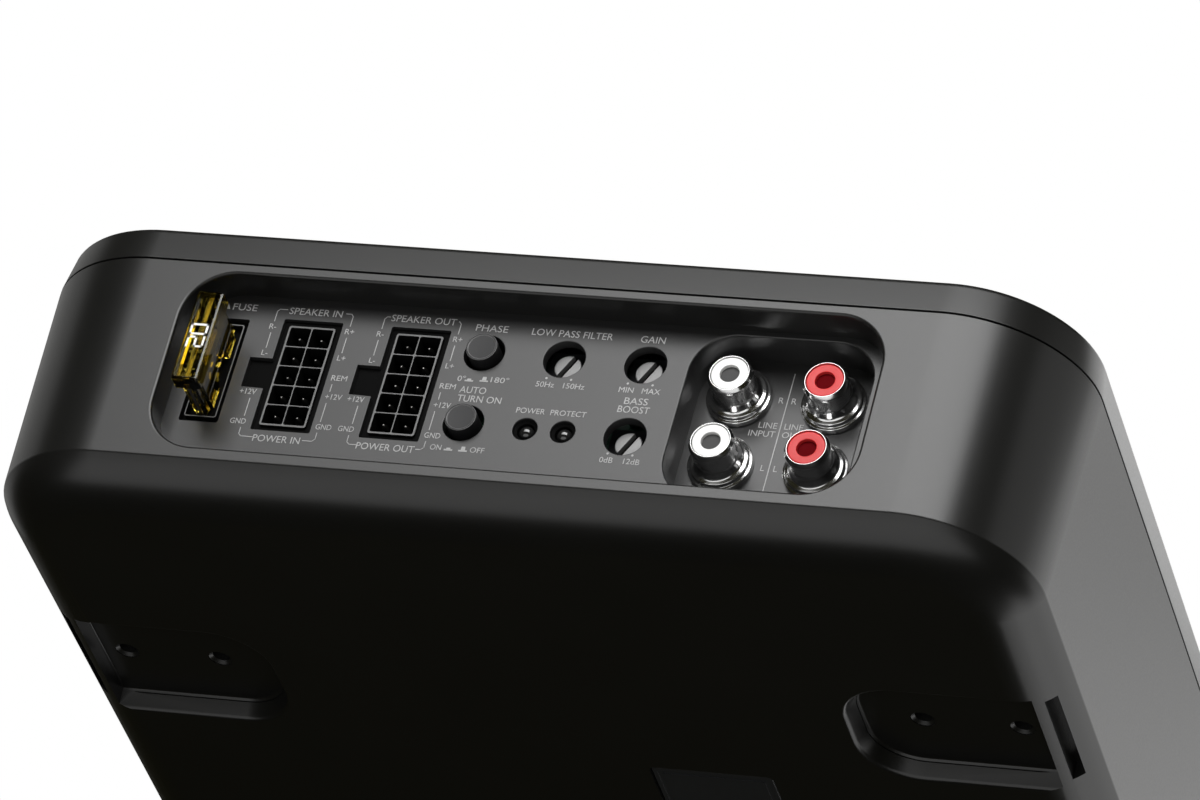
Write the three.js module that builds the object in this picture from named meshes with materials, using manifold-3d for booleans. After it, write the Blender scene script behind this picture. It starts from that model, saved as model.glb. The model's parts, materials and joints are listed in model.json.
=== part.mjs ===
// Compact car subwoofer amplifier: a flat powered enclosure with its amplifier at the front
// and a slim woofer at the rear. Millimetres, +Z up, control panel facing -Y.
// The origin is the centre of the bounding box at the underside.
import * as THREE from 'three';
import { mergeVertices } from 'three/addons/utils/BufferGeometryUtils.js';
import Module from 'manifold-3d';

const wasm = await Module();
wasm.setup();

// ---------------------------------------------------------------- driving dimensions
// Enclosure
const width = 199;              // across the side walls at the split line
const depth = 275;              // front wall to rear wall
const height = 55.3;
const cornerRadius = 25;        // corners seen from above
const wall = 3;
const coverBand = 7;            // height of the top cover's edge
const splitGap = 0.6;           // cover to case, filled by the gasket
const rollRadius = 12.5;        // rounded lower edge
const rollAngle = 62;           // degrees of roll before the crease with the side wall
const wallDraft = 1.4;          // how far the side wall leans in at the crease
const coverDraft = 0.85;        // how far the cover's band leans in at the top
const coverFillet = 1.2;
const bossRadius = 4.2;
const pilotRadius = 1.7;        // screw pilot holes

// Front recess and panel
const recess = { width: 132.6, height: 36.6, x: 0.25, radius: 9.5, depth: 7 };
const topLip = 1.8;             // case wall left above the recess
const collarWall = 2.2;         // tunnel round the recess, inside the case
const panelThickness = 2;
const jackPocket = { left: 29.3, right: 63.4, bottom: -17.2, top: 17.2, radius: 8, depth: 8 };
const pocketWall = 1.6;
const boardSetback = 12.8;      // panel floor to control board
const boardThickness = 1.6;

// Connectors and controls: x from the middle of the case, rise from the middle of the recess
const fuseSeat = { x: -59.15, rise: 1.85, width: 7.6, height: 22.5 };
const fuse = { width: 5.1, length: 19.1, body: 12.3, blade: 5.2, bladeDepth: 6.9, thick: 0.65 };
const fuseProud = 4;            // how far the fuse stands out past the front wall
const headers = [{ name: 'power_in', x: -43.1 }, { name: 'power_out', x: -22.35 }];
const header = { rise: 1.8, pitch: 4.2, rows: 5, columns: 2, rim: 1.55, cell: 3.5, pin: 1.05 };
const latch = { width: 4.3, height: 5.8, rise: 0.15, depth: 5 };
const button = { radius: 3.1, hole: 3.85, proud: 2, travel: 1.8, stem: 1.4 };
const buttons = [{ name: 'phase', x: -9.35, rise: 9.6 }, { name: 'auto', x: -9.35, rise: -5.5 }];
const trimmer = { radius: 2.5, hole: 3.9, setback: 2.6, spindle: 1.8, slot: 0.9, parked: 27.5 };
const trimmers = [
  { name: 'low_pass', x: 5.85, rise: 9.5 },
  { name: 'gain', x: 21.15, rise: 9.5 },
  { name: 'boost', x: 21.15, rise: -5.8 },
];
const led = { radius: 1.5, hole: 2.3 };
const leds = [{ name: 'power', x: 2.35, rise: -5.8 }, { name: 'protect', x: 9.45, rise: -5.8 }];
const jack = { barrel: 4.15, flange: 6, length: 8.4, insulator: 3.45, socket: 1.6, columnGap: 17.7 };
const jackRows = [{ side: 'right', rise: 8.9 }, { side: 'left', rise: -5.4 }];
const jackColumns = [
  { name: 'line_in', x: 37.05, colour: 0xf2f2f0 },
  { name: 'line_out', x: 37.05 + jack.columnGap, colour: 0xe2504c },
];

// Bracket pockets in the underside
const bracket = { inner: 56, outer: 91.5, setback: 51, width: 28, depth: 3.8, radius: 10 };
const bracketHoles = [67.8, 86.4];
const flangeSlot = { from: 93.5, to: 95.6, length: 26, depth: 5.4 };
const label = { x: 24, setback: 93, width: 24, length: 18, depth: 1 };

// Woofer
const woofer = { y: 49, frame: 84, hole: 72 };
const flangeThickness = 1.85;
const grilleThickness = 1.25;
const coilRadius = 18.9;
const coilWall = 1;
const magnet = { radius: 42, bore: 22, height: 9.9 };
const topPlate = { radius: 38, height: 4.9 };
const yokeThickness = 4;
const motorFloorGap = 5;        // enclosure floor to yoke

// Electronics
const partitionY = -43;
const mainBoard = { halfWidth: 88, front: 24, rear: 4, z: 15 };
const standoff = { x: 45, setbacks: [5.2, 41.3] };
const coils = [
  { name: 'power_transformer', x: -55, inner: 8, outer: 19, height: 15 },
  { name: 'output_inductor', x: 68, inner: 5, outer: 12, height: 11 },
];
const coilBevel = 1.5;
const capacitors = { count: 4, firstX: -18, pitch: 19, radius: 8, height: 25, bevel: 0.4 };
const partsSetback = 8;         // coils and capacitors, ahead of the board's middle
const heatSink = { fins: 9, pitch: 18, fin: 2, plate: 3, halfWidth: 76, depth: 14, height: 22 };
const transistor = { x: 36, halfWidth: 7.8, thickness: 4.9, height: 20 };
const partition = { thickness: 3, coverGap: 2.6, shoulder: 3.2 };

// Facets round a circle, by its size
const facets = { woofer: 32, motor: 24, jack: 16, small: 12, screw: 8 };

// Clearances
const seat = 0.05;              // between flat faces that rest on each other
const gap = 0.3;                // between a piece and the cut that holds it

// ---------------------------------------------------------------- derived places
const frontY = -(depth - fuseProud) / 2;
const centreY = frontY + depth / 2;
const splitZ = height - coverBand - splitGap;
const coverZ = splitZ + splitGap;
const panelY = frontY + recess.depth;
const boardY = panelY + boardSetback;
const recessTop = splitZ - topLip;
const recessZ = recessTop - recess.height / 2;
const fuseZ = recessZ + fuseSeat.rise;
const headerZ = recessZ + header.rise;
const plateTop = height - wall;
const degree = Math.PI / 180;

// ---------------------------------------------------------------- solids
// A closed three.js geometry as a solid. Faces that shrink to a line at an axis are dropped.
function solid(geometry) {
  const bare = geometry.clone();
  bare.deleteAttribute('normal');
  bare.deleteAttribute('uv');
  const merged = mergeVertices(bare, 1e-4);
  const index = merged.index.array;
  const faces = [];
  for (let i = 0; i < index.length; i += 3) {
    const [a, b, c] = [index[i], index[i + 1], index[i + 2]];
    if (a !== b && b !== c && c !== a) faces.push(a, b, c);
  }
  const make = (list) => new wasm.Manifold(new wasm.Mesh({
    numProp: 3,
    vertProperties: new Float32Array(merged.attributes.position.array),
    triVerts: new Uint32Array(list),
  }));
  const result = make(faces);
  if (result.volume() >= 0) return result;
  return make(faces.reverse());
}

function join(first, ...others) {
  return others.reduce((sum, next) => sum.add(next), first);
}

function cut(body, ...tools) {
  return tools.reduce((rest, tool) => rest.subtract(tool), body);
}

// A solid as a three.js geometry for a mesh.
function geometryOf(body) {
  const data = body.getMesh();
  const geometry = new THREE.BufferGeometry();
  geometry.setAttribute('position', new THREE.BufferAttribute(data.vertProperties, 3));
  geometry.setIndex(new THREE.BufferAttribute(data.triVerts, 1));
  geometry.computeVertexNormals();
  return geometry;
}

function box(x0, x1, y0, y1, z0, z1) {
  const geometry = new THREE.BoxGeometry(x1 - x0, y1 - y0, z1 - z0);
  return solid(geometry.translate((x0 + x1) / 2, (y0 + y1) / 2, (z0 + z1) / 2));
}

// Profile of [radius, height] points turned about +Z.
function turnedZ(profile, segments) {
  const points = profile.map(([r, z]) => new THREE.Vector2(r, z));
  points.push(points[0].clone());
  return solid(new THREE.LatheGeometry(points, segments).rotateX(Math.PI / 2));
}

// Profile of [radius, y] points turned about +Y, which points into the panel.
function turnedY(profile, segments) {
  const points = profile.map(([r, y]) => new THREE.Vector2(r, y));
  points.push(points[0].clone());
  return solid(new THREE.LatheGeometry(points, segments));
}

function discZ(radius, z0, z1, segments) {
  return turnedZ([[0, z0], [radius, z0], [radius, z1], [0, z1]], segments);
}

function discY(radius, y0, y1, segments) {
  return turnedY([[0, y0], [radius, y0], [radius, y1], [0, y1]], segments);
}

function roundedRectangle(left, right, bottom, top, radius) {
  const shape = new THREE.Shape();
  shape.absarc(right - radius, bottom + radius, radius, -Math.PI / 2, 0, false);
  shape.absarc(right - radius, top - radius, radius, 0, Math.PI / 2, false);
  shape.absarc(left + radius, top - radius, radius, Math.PI / 2, Math.PI, false);
  shape.absarc(left + radius, bottom + radius, radius, Math.PI, Math.PI * 1.5, false);
  return shape;
}

// A shape drawn in plan, between two heights.
function slabZ(shape, z0, z1, curveSegments = 4) {
  const options = { depth: z1 - z0, bevelEnabled: false, curveSegments };
  return solid(new THREE.ExtrudeGeometry(shape, options).translate(0, 0, z0));
}

// A shape drawn as x and z on the panel, between two depths.
function slabY(shape, y0, y1, curveSegments = 5) {
  const options = { depth: y1 - y0, bevelEnabled: false, curveSegments };
  const geometry = new THREE.ExtrudeGeometry(shape, options);
  return solid(geometry.rotateX(Math.PI / 2).translate(0, y1, 0));
}

// The enclosure's outline in plan, drawn in by an inset.
function outline(inset) {
  const steps = 6;
  const radius = cornerRadius - inset;
  const reachX = width / 2 - cornerRadius;
  const reachY = depth / 2 - cornerRadius;
  const points = [];
  for (let corner = 0; corner < 4; corner += 1) {
    const signX = corner === 0 || corner === 3 ? 1 : -1;
    const signY = corner < 2 ? 1 : -1;
    for (let step = 0; step <= steps; step += 1) {
      const angle = (corner + step / steps) * Math.PI / 2;
      points.push([
        signX * reachX + radius * Math.cos(angle),
        centreY + signY * reachY + radius * Math.sin(angle),
      ]);
    }
  }
  return points;
}

// A closed skin through copies of the outline at [height, inset] levels, bottom to top.
function loft(levels) {
  const rings = levels.map(([z, inset]) => outline(inset).map(([x, y]) => [x, y, z]));
  const count = rings[0].length;
  const [bottom] = levels[0];
  const [top] = levels[levels.length - 1];
  const positions = [...rings.flat(2), 0, centreY, bottom, 0, centreY, top];
  const bottomCentre = rings.length * count;
  const topCentre = bottomCentre + 1;
  const topRing = (rings.length - 1) * count;
  const index = [];
  for (let i = 0; i < count; i += 1) {
    const next = (i + 1) % count;
    index.push(bottomCentre, next, i, topCentre, topRing + i, topRing + next);
    for (let ring = 0; ring < rings.length - 1; ring += 1) {
      const low = ring * count;
      const high = low + count;
      index.push(low + i, low + next, high + next, low + i, high + next, high + i);
    }
  }
  const geometry = new THREE.BufferGeometry();
  geometry.setAttribute('position', new THREE.Float32BufferAttribute(positions, 3));
  geometry.setIndex(index);
  return solid(geometry);
}

// Levels of the case's skin, offset inward by a thickness: rounded lower edge, then side wall.
function caseLevels(thickness, top) {
  const rollWidth = rollRadius * Math.sin(rollAngle * degree);
  const radius = rollRadius - thickness;
  const levels = [];
  const steps = 4;
  for (let step = 0; step <= steps; step += 1) {
    const angle = (rollAngle * degree * step) / steps;
    levels.push([
      rollRadius - radius * Math.cos(angle),
      wallDraft + rollWidth - radius * Math.sin(angle),
    ]);
  }
  levels.push([top, thickness]);
  return levels;
}

// ---------------------------------------------------------------- materials and meshes
const finish = (color, roughness, metalness) => (
  () => new THREE.MeshStandardMaterial({ color, roughness, metalness })
);
const casePaint = finish(0x3c3d3f, 0.42, 0.3);
const panelPaint = finish(0x55565a, 0.5, 0.3);
const blackPlastic = finish(0x141414, 0.45, 0);
const darkRubber = finish(0x1b1b1c, 0.8, 0);
const tinnedPin = finish(0xb9b9b4, 0.3, 0.9);
const nickel = finish(0xd7d7d7, 0.12, 1);
const steel = finish(0x8d8f92, 0.35, 0.9);
const ferrite = finish(0x2b2b2d, 0.7, 0.1);
const copper = finish(0xa9622f, 0.35, 0.8);
const boardGreen = finish(0x1f4a33, 0.5, 0.05);
const sleeveBlack = finish(0x202327, 0.4, 0.1);
const blackPaper = finish(0x18181a, 0.85, 0);
const amber = () => new THREE.MeshStandardMaterial({
  color: 0xb08a12, roughness: 0.08, metalness: 0, transparent: true, opacity: 0.6,
});

const part = new THREE.Group();

function add(name, body, material, parent = part) {
  const mesh = new THREE.Mesh(geometryOf(body), material());
  mesh.name = name;
  parent.add(mesh);
  return mesh;
}

function groupAt(x, y, z) {
  const group = new THREE.Group();
  group.position.set(x, y, z);
  part.add(group);
  return group;
}

// ---------------------------------------------------------------- enclosure
const recessShape = (grow) => roundedRectangle(
  recess.x - recess.width / 2 - grow, recess.x + recess.width / 2 + grow,
  recessTop - recess.height - grow, recessTop + grow, recess.radius + grow,
);

const bracketPlaces = [];
for (const side of [-1, 1]) {
  for (const end of [-1, 1]) {
    const middle = depth / 2 - bracket.setback - bracket.width / 2;
    bracketPlaces.push({ side, y: centreY + end * middle });
  }
}

function bracketShape({ side, y }, grow) {
  const [near, far] = [bracket.inner - grow, bracket.outer + grow];
  const [left, right] = side > 0 ? [near, far] : [-far, -near];
  const half = bracket.width / 2 + grow;
  const shape = new THREE.Shape();
  const radius = bracket.radius + grow;
  const square = side > 0 ? right : left;
  const turn = side > 0 ? left + radius : right - radius;
  shape.moveTo(square, y - half);
  shape.lineTo(turn, y - half);
  shape.absarc(turn, y - half + radius, radius, -Math.PI / 2, side > 0 ? Math.PI : 0, side > 0);
  shape.absarc(turn, y + half - radius, radius, side > 0 ? Math.PI : 0, Math.PI / 2, side > 0);
  shape.lineTo(square, y + half);
  return shape;
}

// Narrow slot for a bracket's bent edge, outside each pocket.
function bracketSlot({ side, y }) {
  const [near, far] = [flangeSlot.from * side, flangeSlot.to * side];
  const half = flangeSlot.length / 2;
  return box(Math.min(near, far), Math.max(near, far), y - half, y + half, -1, flangeSlot.depth);
}

function buildLowerCase() {
  const skin = loft(caseLevels(0, splitZ));
  const hollow = loft(caseLevels(wall, splitZ + 1));
  const collarShape = roundedRectangle(
    recess.x - recess.width / 2 - collarWall, recess.x + recess.width / 2 + collarWall,
    recessTop - recess.height - collarWall, splitZ, recess.radius + collarWall,
  );
  const collar = slabY(collarShape, frontY + wall / 2, panelY - seat);
  const pads = [];
  const cuts = [slabY(recessShape(0), frontY - 1, panelY + 1)];
  for (const place of bracketPlaces) {
    pads.push(slabZ(bracketShape(place, wall), wall / 2, bracket.depth + wall));
    cuts.push(slabZ(bracketShape(place, 0), -1, bracket.depth));
    cuts.push(bracketSlot(place));
    for (const x of bracketHoles) {
      const at = [x * place.side, place.y, 0];
      pads.push(discZ(bossRadius, wall, mainBoard.z - 2, facets.small).translate(at));
      cuts.push(discZ(pilotRadius, wall, mainBoard.z - 4, facets.screw).translate(at));
    }
  }
  const standoffs = [-1, 1].flatMap((side) => standoff.setbacks.map((setback) => {
    const at = [side * standoff.x, frontY + mainBoard.front + setback, 0];
    return discZ(bossRadius, wall / 2, mainBoard.z, facets.small).translate(at);
  }));
  const inside = join(collar, ...pads, ...standoffs).intersect(skin);
  const labelCut = box(
    label.x - label.width / 2, label.x + label.width / 2,
    frontY + label.setback - label.length / 2, frontY + label.setback + label.length / 2,
    -1, label.depth,
  );
  return cut(join(cut(skin, hollow), inside), ...cuts, labelCut);
}

function buildTopCover() {
  const crown = [];
  const steps = 3;
  for (let step = 0; step <= steps; step += 1) {
    const angle = (step / steps) * Math.PI / 2;
    crown.push([
      height - coverFillet + coverFillet * Math.sin(angle),
      coverDraft + coverFillet - coverFillet * Math.cos(angle),
    ]);
  }
  const skin = loft([[coverZ, 0], ...crown]);
  const hollow = loft([[coverZ - 1, wall], [plateTop, wall + coverDraft]]);
  const tongue = cut(
    loft([[splitZ - 2, wall + gap], [plateTop + 1, wall + gap]]),
    loft([[splitZ - 3, wall + gap + 1.6], [plateTop, wall + gap + 1.6]]),
    box(-recess.width / 2 - 6, recess.width / 2 + 6, frontY, panelY + panelThickness + 1, 0, coverZ),
  );
  const ringFloor = coverZ - 0.2;
  const flangeSeat = flangeZ - seat;
  const ring = discZ(woofer.frame + wall, ringFloor, plateTop + 1, facets.woofer).translate([0, woofer.y, 0]);
  const mouth = discZ(woofer.hole, 0, height + 1, facets.woofer).translate([0, woofer.y, 0]);
  const rebate = discZ(woofer.frame + 0.6, flangeSeat, height + 1, facets.woofer).translate([0, woofer.y, 0]);
  const pilots = screwPlaces.map(([x, y]) => (
    discZ(screwShank + gap, ringFloor - 1, height, facets.screw).translate([x, y, 0])
  ));
  return cut(join(cut(skin, hollow), tongue, ring.intersect(loft([[0, wall + gap], [height, wall + gap]]))),
    mouth, rebate, ...pilots);
}

// ---------------------------------------------------------------- woofer heights
const flangeZ = height - 5;                     // underside of the woofer's flange
const flangeTop = flangeZ + flangeThickness;
const yokeZ = wall + motorFloorGap;
const magnetZ = yokeZ + yokeThickness + seat;
const topPlateZ = magnetZ + magnet.height + seat;
const poleTop = topPlateZ + topPlate.height;
const basketZ = poleTop + seat;                 // underside of the basket's bottom ring
const spiderZ = basketZ + 4.5;
const ledgeZ = height - 8.3;                    // where the surround is glued
const screwShank = 1.5;
const screwCircle = 78;
const screwPlaces = [45, 135, 225, 315].map((degrees) => [
  screwCircle * Math.cos(degrees * degree),
  woofer.y + screwCircle * Math.sin(degrees * degree),
]);

function buildWoofer() {
  const group = groupAt(0, woofer.y, 0);
  const metal = 1.5;
  const spiderSeat = spiderZ - seat;
  const basket = turnedZ([
    [24, basketZ], [45, basketZ], [48, spiderSeat - 1], [70, ledgeZ - 2], [71.4, ledgeZ],
    [71.4, flangeZ], [woofer.frame, flangeZ], [woofer.frame, flangeTop],
    [70, flangeTop], [70, ledgeZ], [66, ledgeZ], [66, ledgeZ - 1.6],
    [46, spiderSeat], [41, spiderSeat], [40, basketZ + metal], [24, basketZ + metal],
  ], facets.woofer);
  const windows = [0, 60, 120, 180, 240, 300].map((degrees) => (
    box(50, 64, -13, 13, basketZ + 3, ledgeZ - 1.8).rotate([0, 0, degrees])
  ));
  const screwHoles = screwPlaces.map(([x, y]) => (
    discZ(screwShank + gap, flangeZ - 1, flangeTop + 1, facets.screw).translate([x, y - woofer.y, 0])
  ));
  add('woofer_basket', cut(basket, ...windows, ...screwHoles), steel, group);
  const poleRadius = coilRadius - coilWall / 2 - 0.6;
  add('woofer_yoke', turnedZ([
    [4, yokeZ], [topPlate.radius, yokeZ], [topPlate.radius, yokeZ + yokeThickness],
    [poleRadius, yokeZ + yokeThickness], [poleRadius, poleTop], [4, poleTop],
  ], facets.motor), steel, group);
  add('woofer_magnet', turnedZ([
    [magnet.bore, magnetZ], [magnet.radius, magnetZ],
    [magnet.radius, magnetZ + magnet.height], [magnet.bore, magnetZ + magnet.height],
  ], facets.motor), ferrite, group);
  const plateBore = coilRadius + coilWall / 2 + 1.2;
  add('woofer_top_plate', turnedZ([
    [plateBore, topPlateZ], [topPlate.radius, topPlateZ],
    [topPlate.radius, poleTop], [plateBore, poleTop],
  ], facets.motor), steel, group);

  const coneInner = coilRadius + coilWall / 2 + 0.4;
  const coneZ = spiderZ + 6;
  const coneOuter = 57;
  const paper = 0.9;
  add('voice_coil', turnedZ([
    [coilRadius - coilWall / 2, topPlateZ - 1], [coilRadius + coilWall / 2, topPlateZ - 1],
    [coilRadius + coilWall / 2, coneZ + 0.6], [coilRadius - coilWall / 2, coneZ + 0.6],
  ], facets.motor), copper, group);
  const bend = 38;
  add('woofer_cone', turnedZ([
    [coneInner, coneZ], [bend, coneZ + 5], [coneOuter, ledgeZ - paper],
    [coneOuter + 3, ledgeZ - paper], [coneOuter + 3, ledgeZ], [coneOuter, ledgeZ],
    [bend, coneZ + 5 + paper], [coneInner, coneZ + paper],
  ], facets.woofer), blackPaper, group);
  const capRadius = coneInner + 2.2;
  const capFoot = coneZ + paper + 1.5;
  const dome = [];
  for (let step = 0; step <= 3; step += 1) {
    const angle = (step / 3) * Math.PI / 2;
    dome.push([capRadius * Math.cos(angle), capFoot + 4.5 * Math.sin(angle)]);
  }
  const under = dome.slice().reverse().map(([r, z]) => [r * 0.96, z - 0.7]);
  add('dust_cap', turnedZ([...dome, ...under], facets.motor), blackPaper, group);

  const roll = [];
  const [rollInner, rollOuter] = [coneOuter + 1.2, 68.4];
  const rollMiddle = (rollInner + rollOuter) / 2;
  const rollReach = (rollOuter - rollInner) / 2;
  for (let step = 0; step <= 4; step += 1) {
    const angle = (step / 4) * Math.PI;
    roll.push([rollMiddle - rollReach * Math.cos(angle), 3.6 * Math.sin(angle)]);
  }
  const surroundZ = ledgeZ + seat;
  const rubber = 0.8;
  add('woofer_surround', turnedZ([
    [coneOuter, surroundZ], ...roll.map(([r, z]) => [r, surroundZ + z]), [69.6, surroundZ],
    [69.6, surroundZ + rubber],
    ...roll.slice().reverse().map(([r, z]) => [
      rollMiddle + (r - rollMiddle) * 0.93, surroundZ + rubber + z,
    ]),
    [coneOuter, surroundZ + rubber],
  ], facets.woofer), darkRubber, group);

  const cloth = 0.7;
  const waves = [];
  const [spiderInner, spiderOuter] = [coilRadius + coilWall / 2 + gap, 45];
  for (let step = 0; step <= 4; step += 1) {
    const share = step / 4;
    const r = spiderInner + (40 - spiderInner) * share;
    waves.push([r, spiderZ + (step % 2 ? 1.4 : 0)]);
  }
  add('woofer_spider', turnedZ([
    ...waves, [spiderOuter, spiderZ], [spiderOuter, spiderZ + cloth],
    ...waves.slice().reverse().map(([r, z]) => [r, z + cloth]),
  ], facets.motor), finish(0xa88a4a, 0.9, 0), group);
}

function buildGrille() {
  const group = groupAt(0, woofer.y, 0);
  const base = flangeTop + seat;
  const radius = woofer.frame + gap;
  const crown = 0.6;
  const face = height - crown;
  const under = face - grilleThickness;
  const rim = radius - 3.4;
  const dish = turnedZ([
    [0, under + crown], [radius / 2, under + crown * 0.75], [rim, under], [rim, base],
    [radius, base], [radius, face - 0.8], [radius - 0.8, face],
    [radius / 2, face + crown * 0.75], [0, height],
  ], facets.woofer);
  const slots = [];
  const rings = [22, 42, 62];
  for (const [row, middle] of rings.entries()) {
    const count = 3 + row * 2;
    const sweep = (Math.PI * 2) / count - 7 / middle;
    for (let k = 0; k < count; k += 1) {
      const start = (k / count) * Math.PI * 2;
      const shape = new THREE.Shape();
      shape.absarc(0, 0, middle + 3, start, start + sweep, false);
      shape.absarc(0, 0, middle - 3, start + sweep, start, true);
      slots.push(slabZ(shape, base, height + 1, 3));
    }
  }
  add('speaker_grille', cut(dish, ...slots), blackPlastic, group);
}

function buildWooferScrews() {
  screwPlaces.forEach(([x, y], i) => {
    const group = groupAt(x, y, flangeTop + seat);
    const head = discZ(2.8, 0, 0.9, facets.small);
    const shank = discZ(screwShank, -3.6, 0.2, facets.screw);
    const drive = join(box(-1.3, 1.3, -0.3, 0.3, 0.4, 2), box(-0.3, 0.3, -1.3, 1.3, 0.4, 2));
    add(`woofer_screw_${i + 1}`, cut(join(head, shank), drive), steel, group);
  });
}

// ---------------------------------------------------------------- control panel
const headerHalf = {
  x: header.pitch * (header.columns - 1) / 2 + header.cell / 2 + header.rim,
  z: header.pitch * (header.rows - 1) / 2 + header.cell / 2 + header.rim,
};

function buildPanel() {
  const back = panelY + panelThickness;
  const left = recess.x - recess.width / 2 - collarWall;
  const right = recess.x + recess.width / 2 + collarWall;
  const bottom = recessTop - recess.height - collarWall;
  const top = splitZ - gap;
  const plate = slabY(
    roundedRectangle(left, right, bottom, top, recess.radius + collarWall - gap), panelY, back,
  );
  const pocket = (grow) => roundedRectangle(
    jackPocket.left - grow, jackPocket.right + grow,
    recessZ + jackPocket.bottom - grow, recessZ + jackPocket.top + grow, jackPocket.radius + grow,
  );
  const floor = panelY + jackPocket.depth;
  const cup = slabY(pocket(pocketWall), panelY + 0.5, floor + pocketWall);
  const cuts = [
    slabY(pocket(0), panelY - 1, floor),
    box(fuseSeat.x - fuseSeat.width / 2, fuseSeat.x + fuseSeat.width / 2, panelY - 1, back + 1,
      fuseZ - fuseSeat.height / 2, fuseZ + fuseSeat.height / 2),
  ];
  for (const { x } of headers) {
    const reach = headerHalf.x + gap;
    const rise = headerHalf.z + gap;
    cuts.push(box(x - reach, x + reach, panelY - 1, back + 1, headerZ - rise, headerZ + rise));
    const tab = latch.height / 2 + gap;
    const middle = headerZ + latch.rise;
    cuts.push(box(x - reach - latch.width, x, panelY - 1, back + 1, middle - tab, middle + tab));
  }
  const hole = (x, rise, radius, y0, y1) => (
    discY(radius, y0, y1, facets.jack).translate([x, 0, recessZ + rise])
  );
  for (const { x, rise } of buttons) cuts.push(hole(x, rise, button.hole, panelY - 1, back + 1));
  for (const { x, rise } of trimmers) cuts.push(hole(x, rise, trimmer.hole, panelY - 1, back + 1));
  for (const { x, rise } of leds) cuts.push(hole(x, rise, led.hole, panelY - 1, back + 1));
  for (const { x } of jackColumns) {
    for (const { rise } of jackRows) {
      cuts.push(hole(x, rise, jack.barrel + gap, floor - 1, floor + pocketWall + 1));
    }
  }
  add('control_panel', cut(join(plate, cup), ...cuts), panelPaint);
}

// ---------------------------------------------------------------- fuse
// Blades and link of the fuse, grown by a clearance.
function fuseMetal(grow) {
  const bladeX = fuse.thick / 2 + grow;
  const bladeMiddle = fuse.length / 2 - 0.3 - fuse.blade / 2;
  const end = fuse.body + fuse.bladeDepth;
  const blades = [-1, 1].map((side) => box(
    -bladeX, bladeX, 2.2 - grow, end + grow,
    side * bladeMiddle - fuse.blade / 2 - grow, side * bladeMiddle + fuse.blade / 2 + grow,
  ));
  const link = box(-bladeX, bladeX, 4 - grow, 6.4 + grow, -bladeMiddle, bladeMiddle);
  return join(...blades, link);
}

function buildFuse() {
  const front = frontY - fuseProud;
  const group = groupAt(fuseSeat.x, front, fuseZ);
  const [halfX, halfZ] = [fuse.width / 2, fuse.length / 2];
  const cap = slabY(roundedRectangle(-halfX, halfX, -halfZ, halfZ, 0.6), 0, fuse.body, 2);
  const waist = [-1, 1].flatMap((side) => [-1, 1].map((end) => {
    const [x0, x1] = side > 0 ? [halfX - 0.55, halfX + 1] : [-halfX - 1, -halfX + 0.55];
    const [z0, z1] = end > 0 ? [0.9, halfZ - 1.4] : [1.4 - halfZ, -0.9];
    return box(x0, x1, 2.6, fuse.body - 1.6, z0, z1);
  }));
  add('fuse_body', cut(cap, ...waist, fuseMetal(gap)), amber, group);
  add('fuse_element', fuseMetal(0), tinnedPin, group);

  const holderFront = panelY + 0.6;
  const holder = groupAt(fuseSeat.x, 0, fuseZ);
  const bladeTip = front + fuse.body + fuse.bladeDepth;
  const bladeMiddle = fuse.length / 2 - 0.3 - fuse.blade / 2;
  const block = box(
    gap - fuseSeat.width / 2, fuseSeat.width / 2 - gap, holderFront, boardY - seat,
    gap - fuseSeat.height / 2, fuseSeat.height / 2 - gap,
  );
  const socket = box(
    -halfX - gap, halfX + gap, holderFront - 1, front + fuse.body + gap,
    -halfZ - gap, halfZ + gap,
  );
  const slots = [-1, 1].map((side) => box(
    -fuse.thick / 2 - gap, fuse.thick / 2 + gap, holderFront, bladeTip + gap,
    side * bladeMiddle - fuse.blade / 2 - gap, side * bladeMiddle + fuse.blade / 2 + gap,
  ));
  add('fuse_holder', cut(block, socket, ...slots), blackPlastic, holder);
}

// ---------------------------------------------------------------- power headers
function buildHeader({ name, x }) {
  const group = groupAt(x, panelY, headerZ);
  const wafer = boardSetback - 3.4;
  const housing = box(-headerHalf.x, headerHalf.x, 0.2, wafer - seat, -headerHalf.z, headerHalf.z);
  const tab = box(
    -headerHalf.x - latch.width, -headerHalf.x + 0.5, 0.2, latch.depth,
    latch.rise - latch.height / 2, latch.rise + latch.height / 2,
  );
  const tabHollow = box(
    -headerHalf.x - latch.width + 0.9, -headerHalf.x - 0.3, -1, latch.depth - 1.2,
    latch.rise - latch.height / 2 + 0.9, latch.rise + latch.height / 2 - 0.9,
  );
  const cells = [];
  const pins = [];
  for (let column = 0; column < header.columns; column += 1) {
    for (let row = 0; row < header.rows; row += 1) {
      const px = (column - (header.columns - 1) / 2) * header.pitch;
      const pz = (row - (header.rows - 1) / 2) * header.pitch;
      const [half, pin] = [header.cell / 2, header.pin / 2];
      cells.push(box(px - half, px + half, -1, wafer, pz - half, pz + half));
      pins.push(box(px - pin, px + pin, 0.9, wafer + 1, pz - pin, pz + pin));
    }
  }
  add(`${name}_housing`, cut(join(housing, tab), tabHollow, ...cells), blackPlastic, group);
  const carrier = box(
    -headerHalf.x, headerHalf.x, wafer, boardSetback - seat, -headerHalf.z, headerHalf.z,
  );
  add(`${name}_pins`, join(carrier, ...pins), tinnedPin, group);
}

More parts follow.
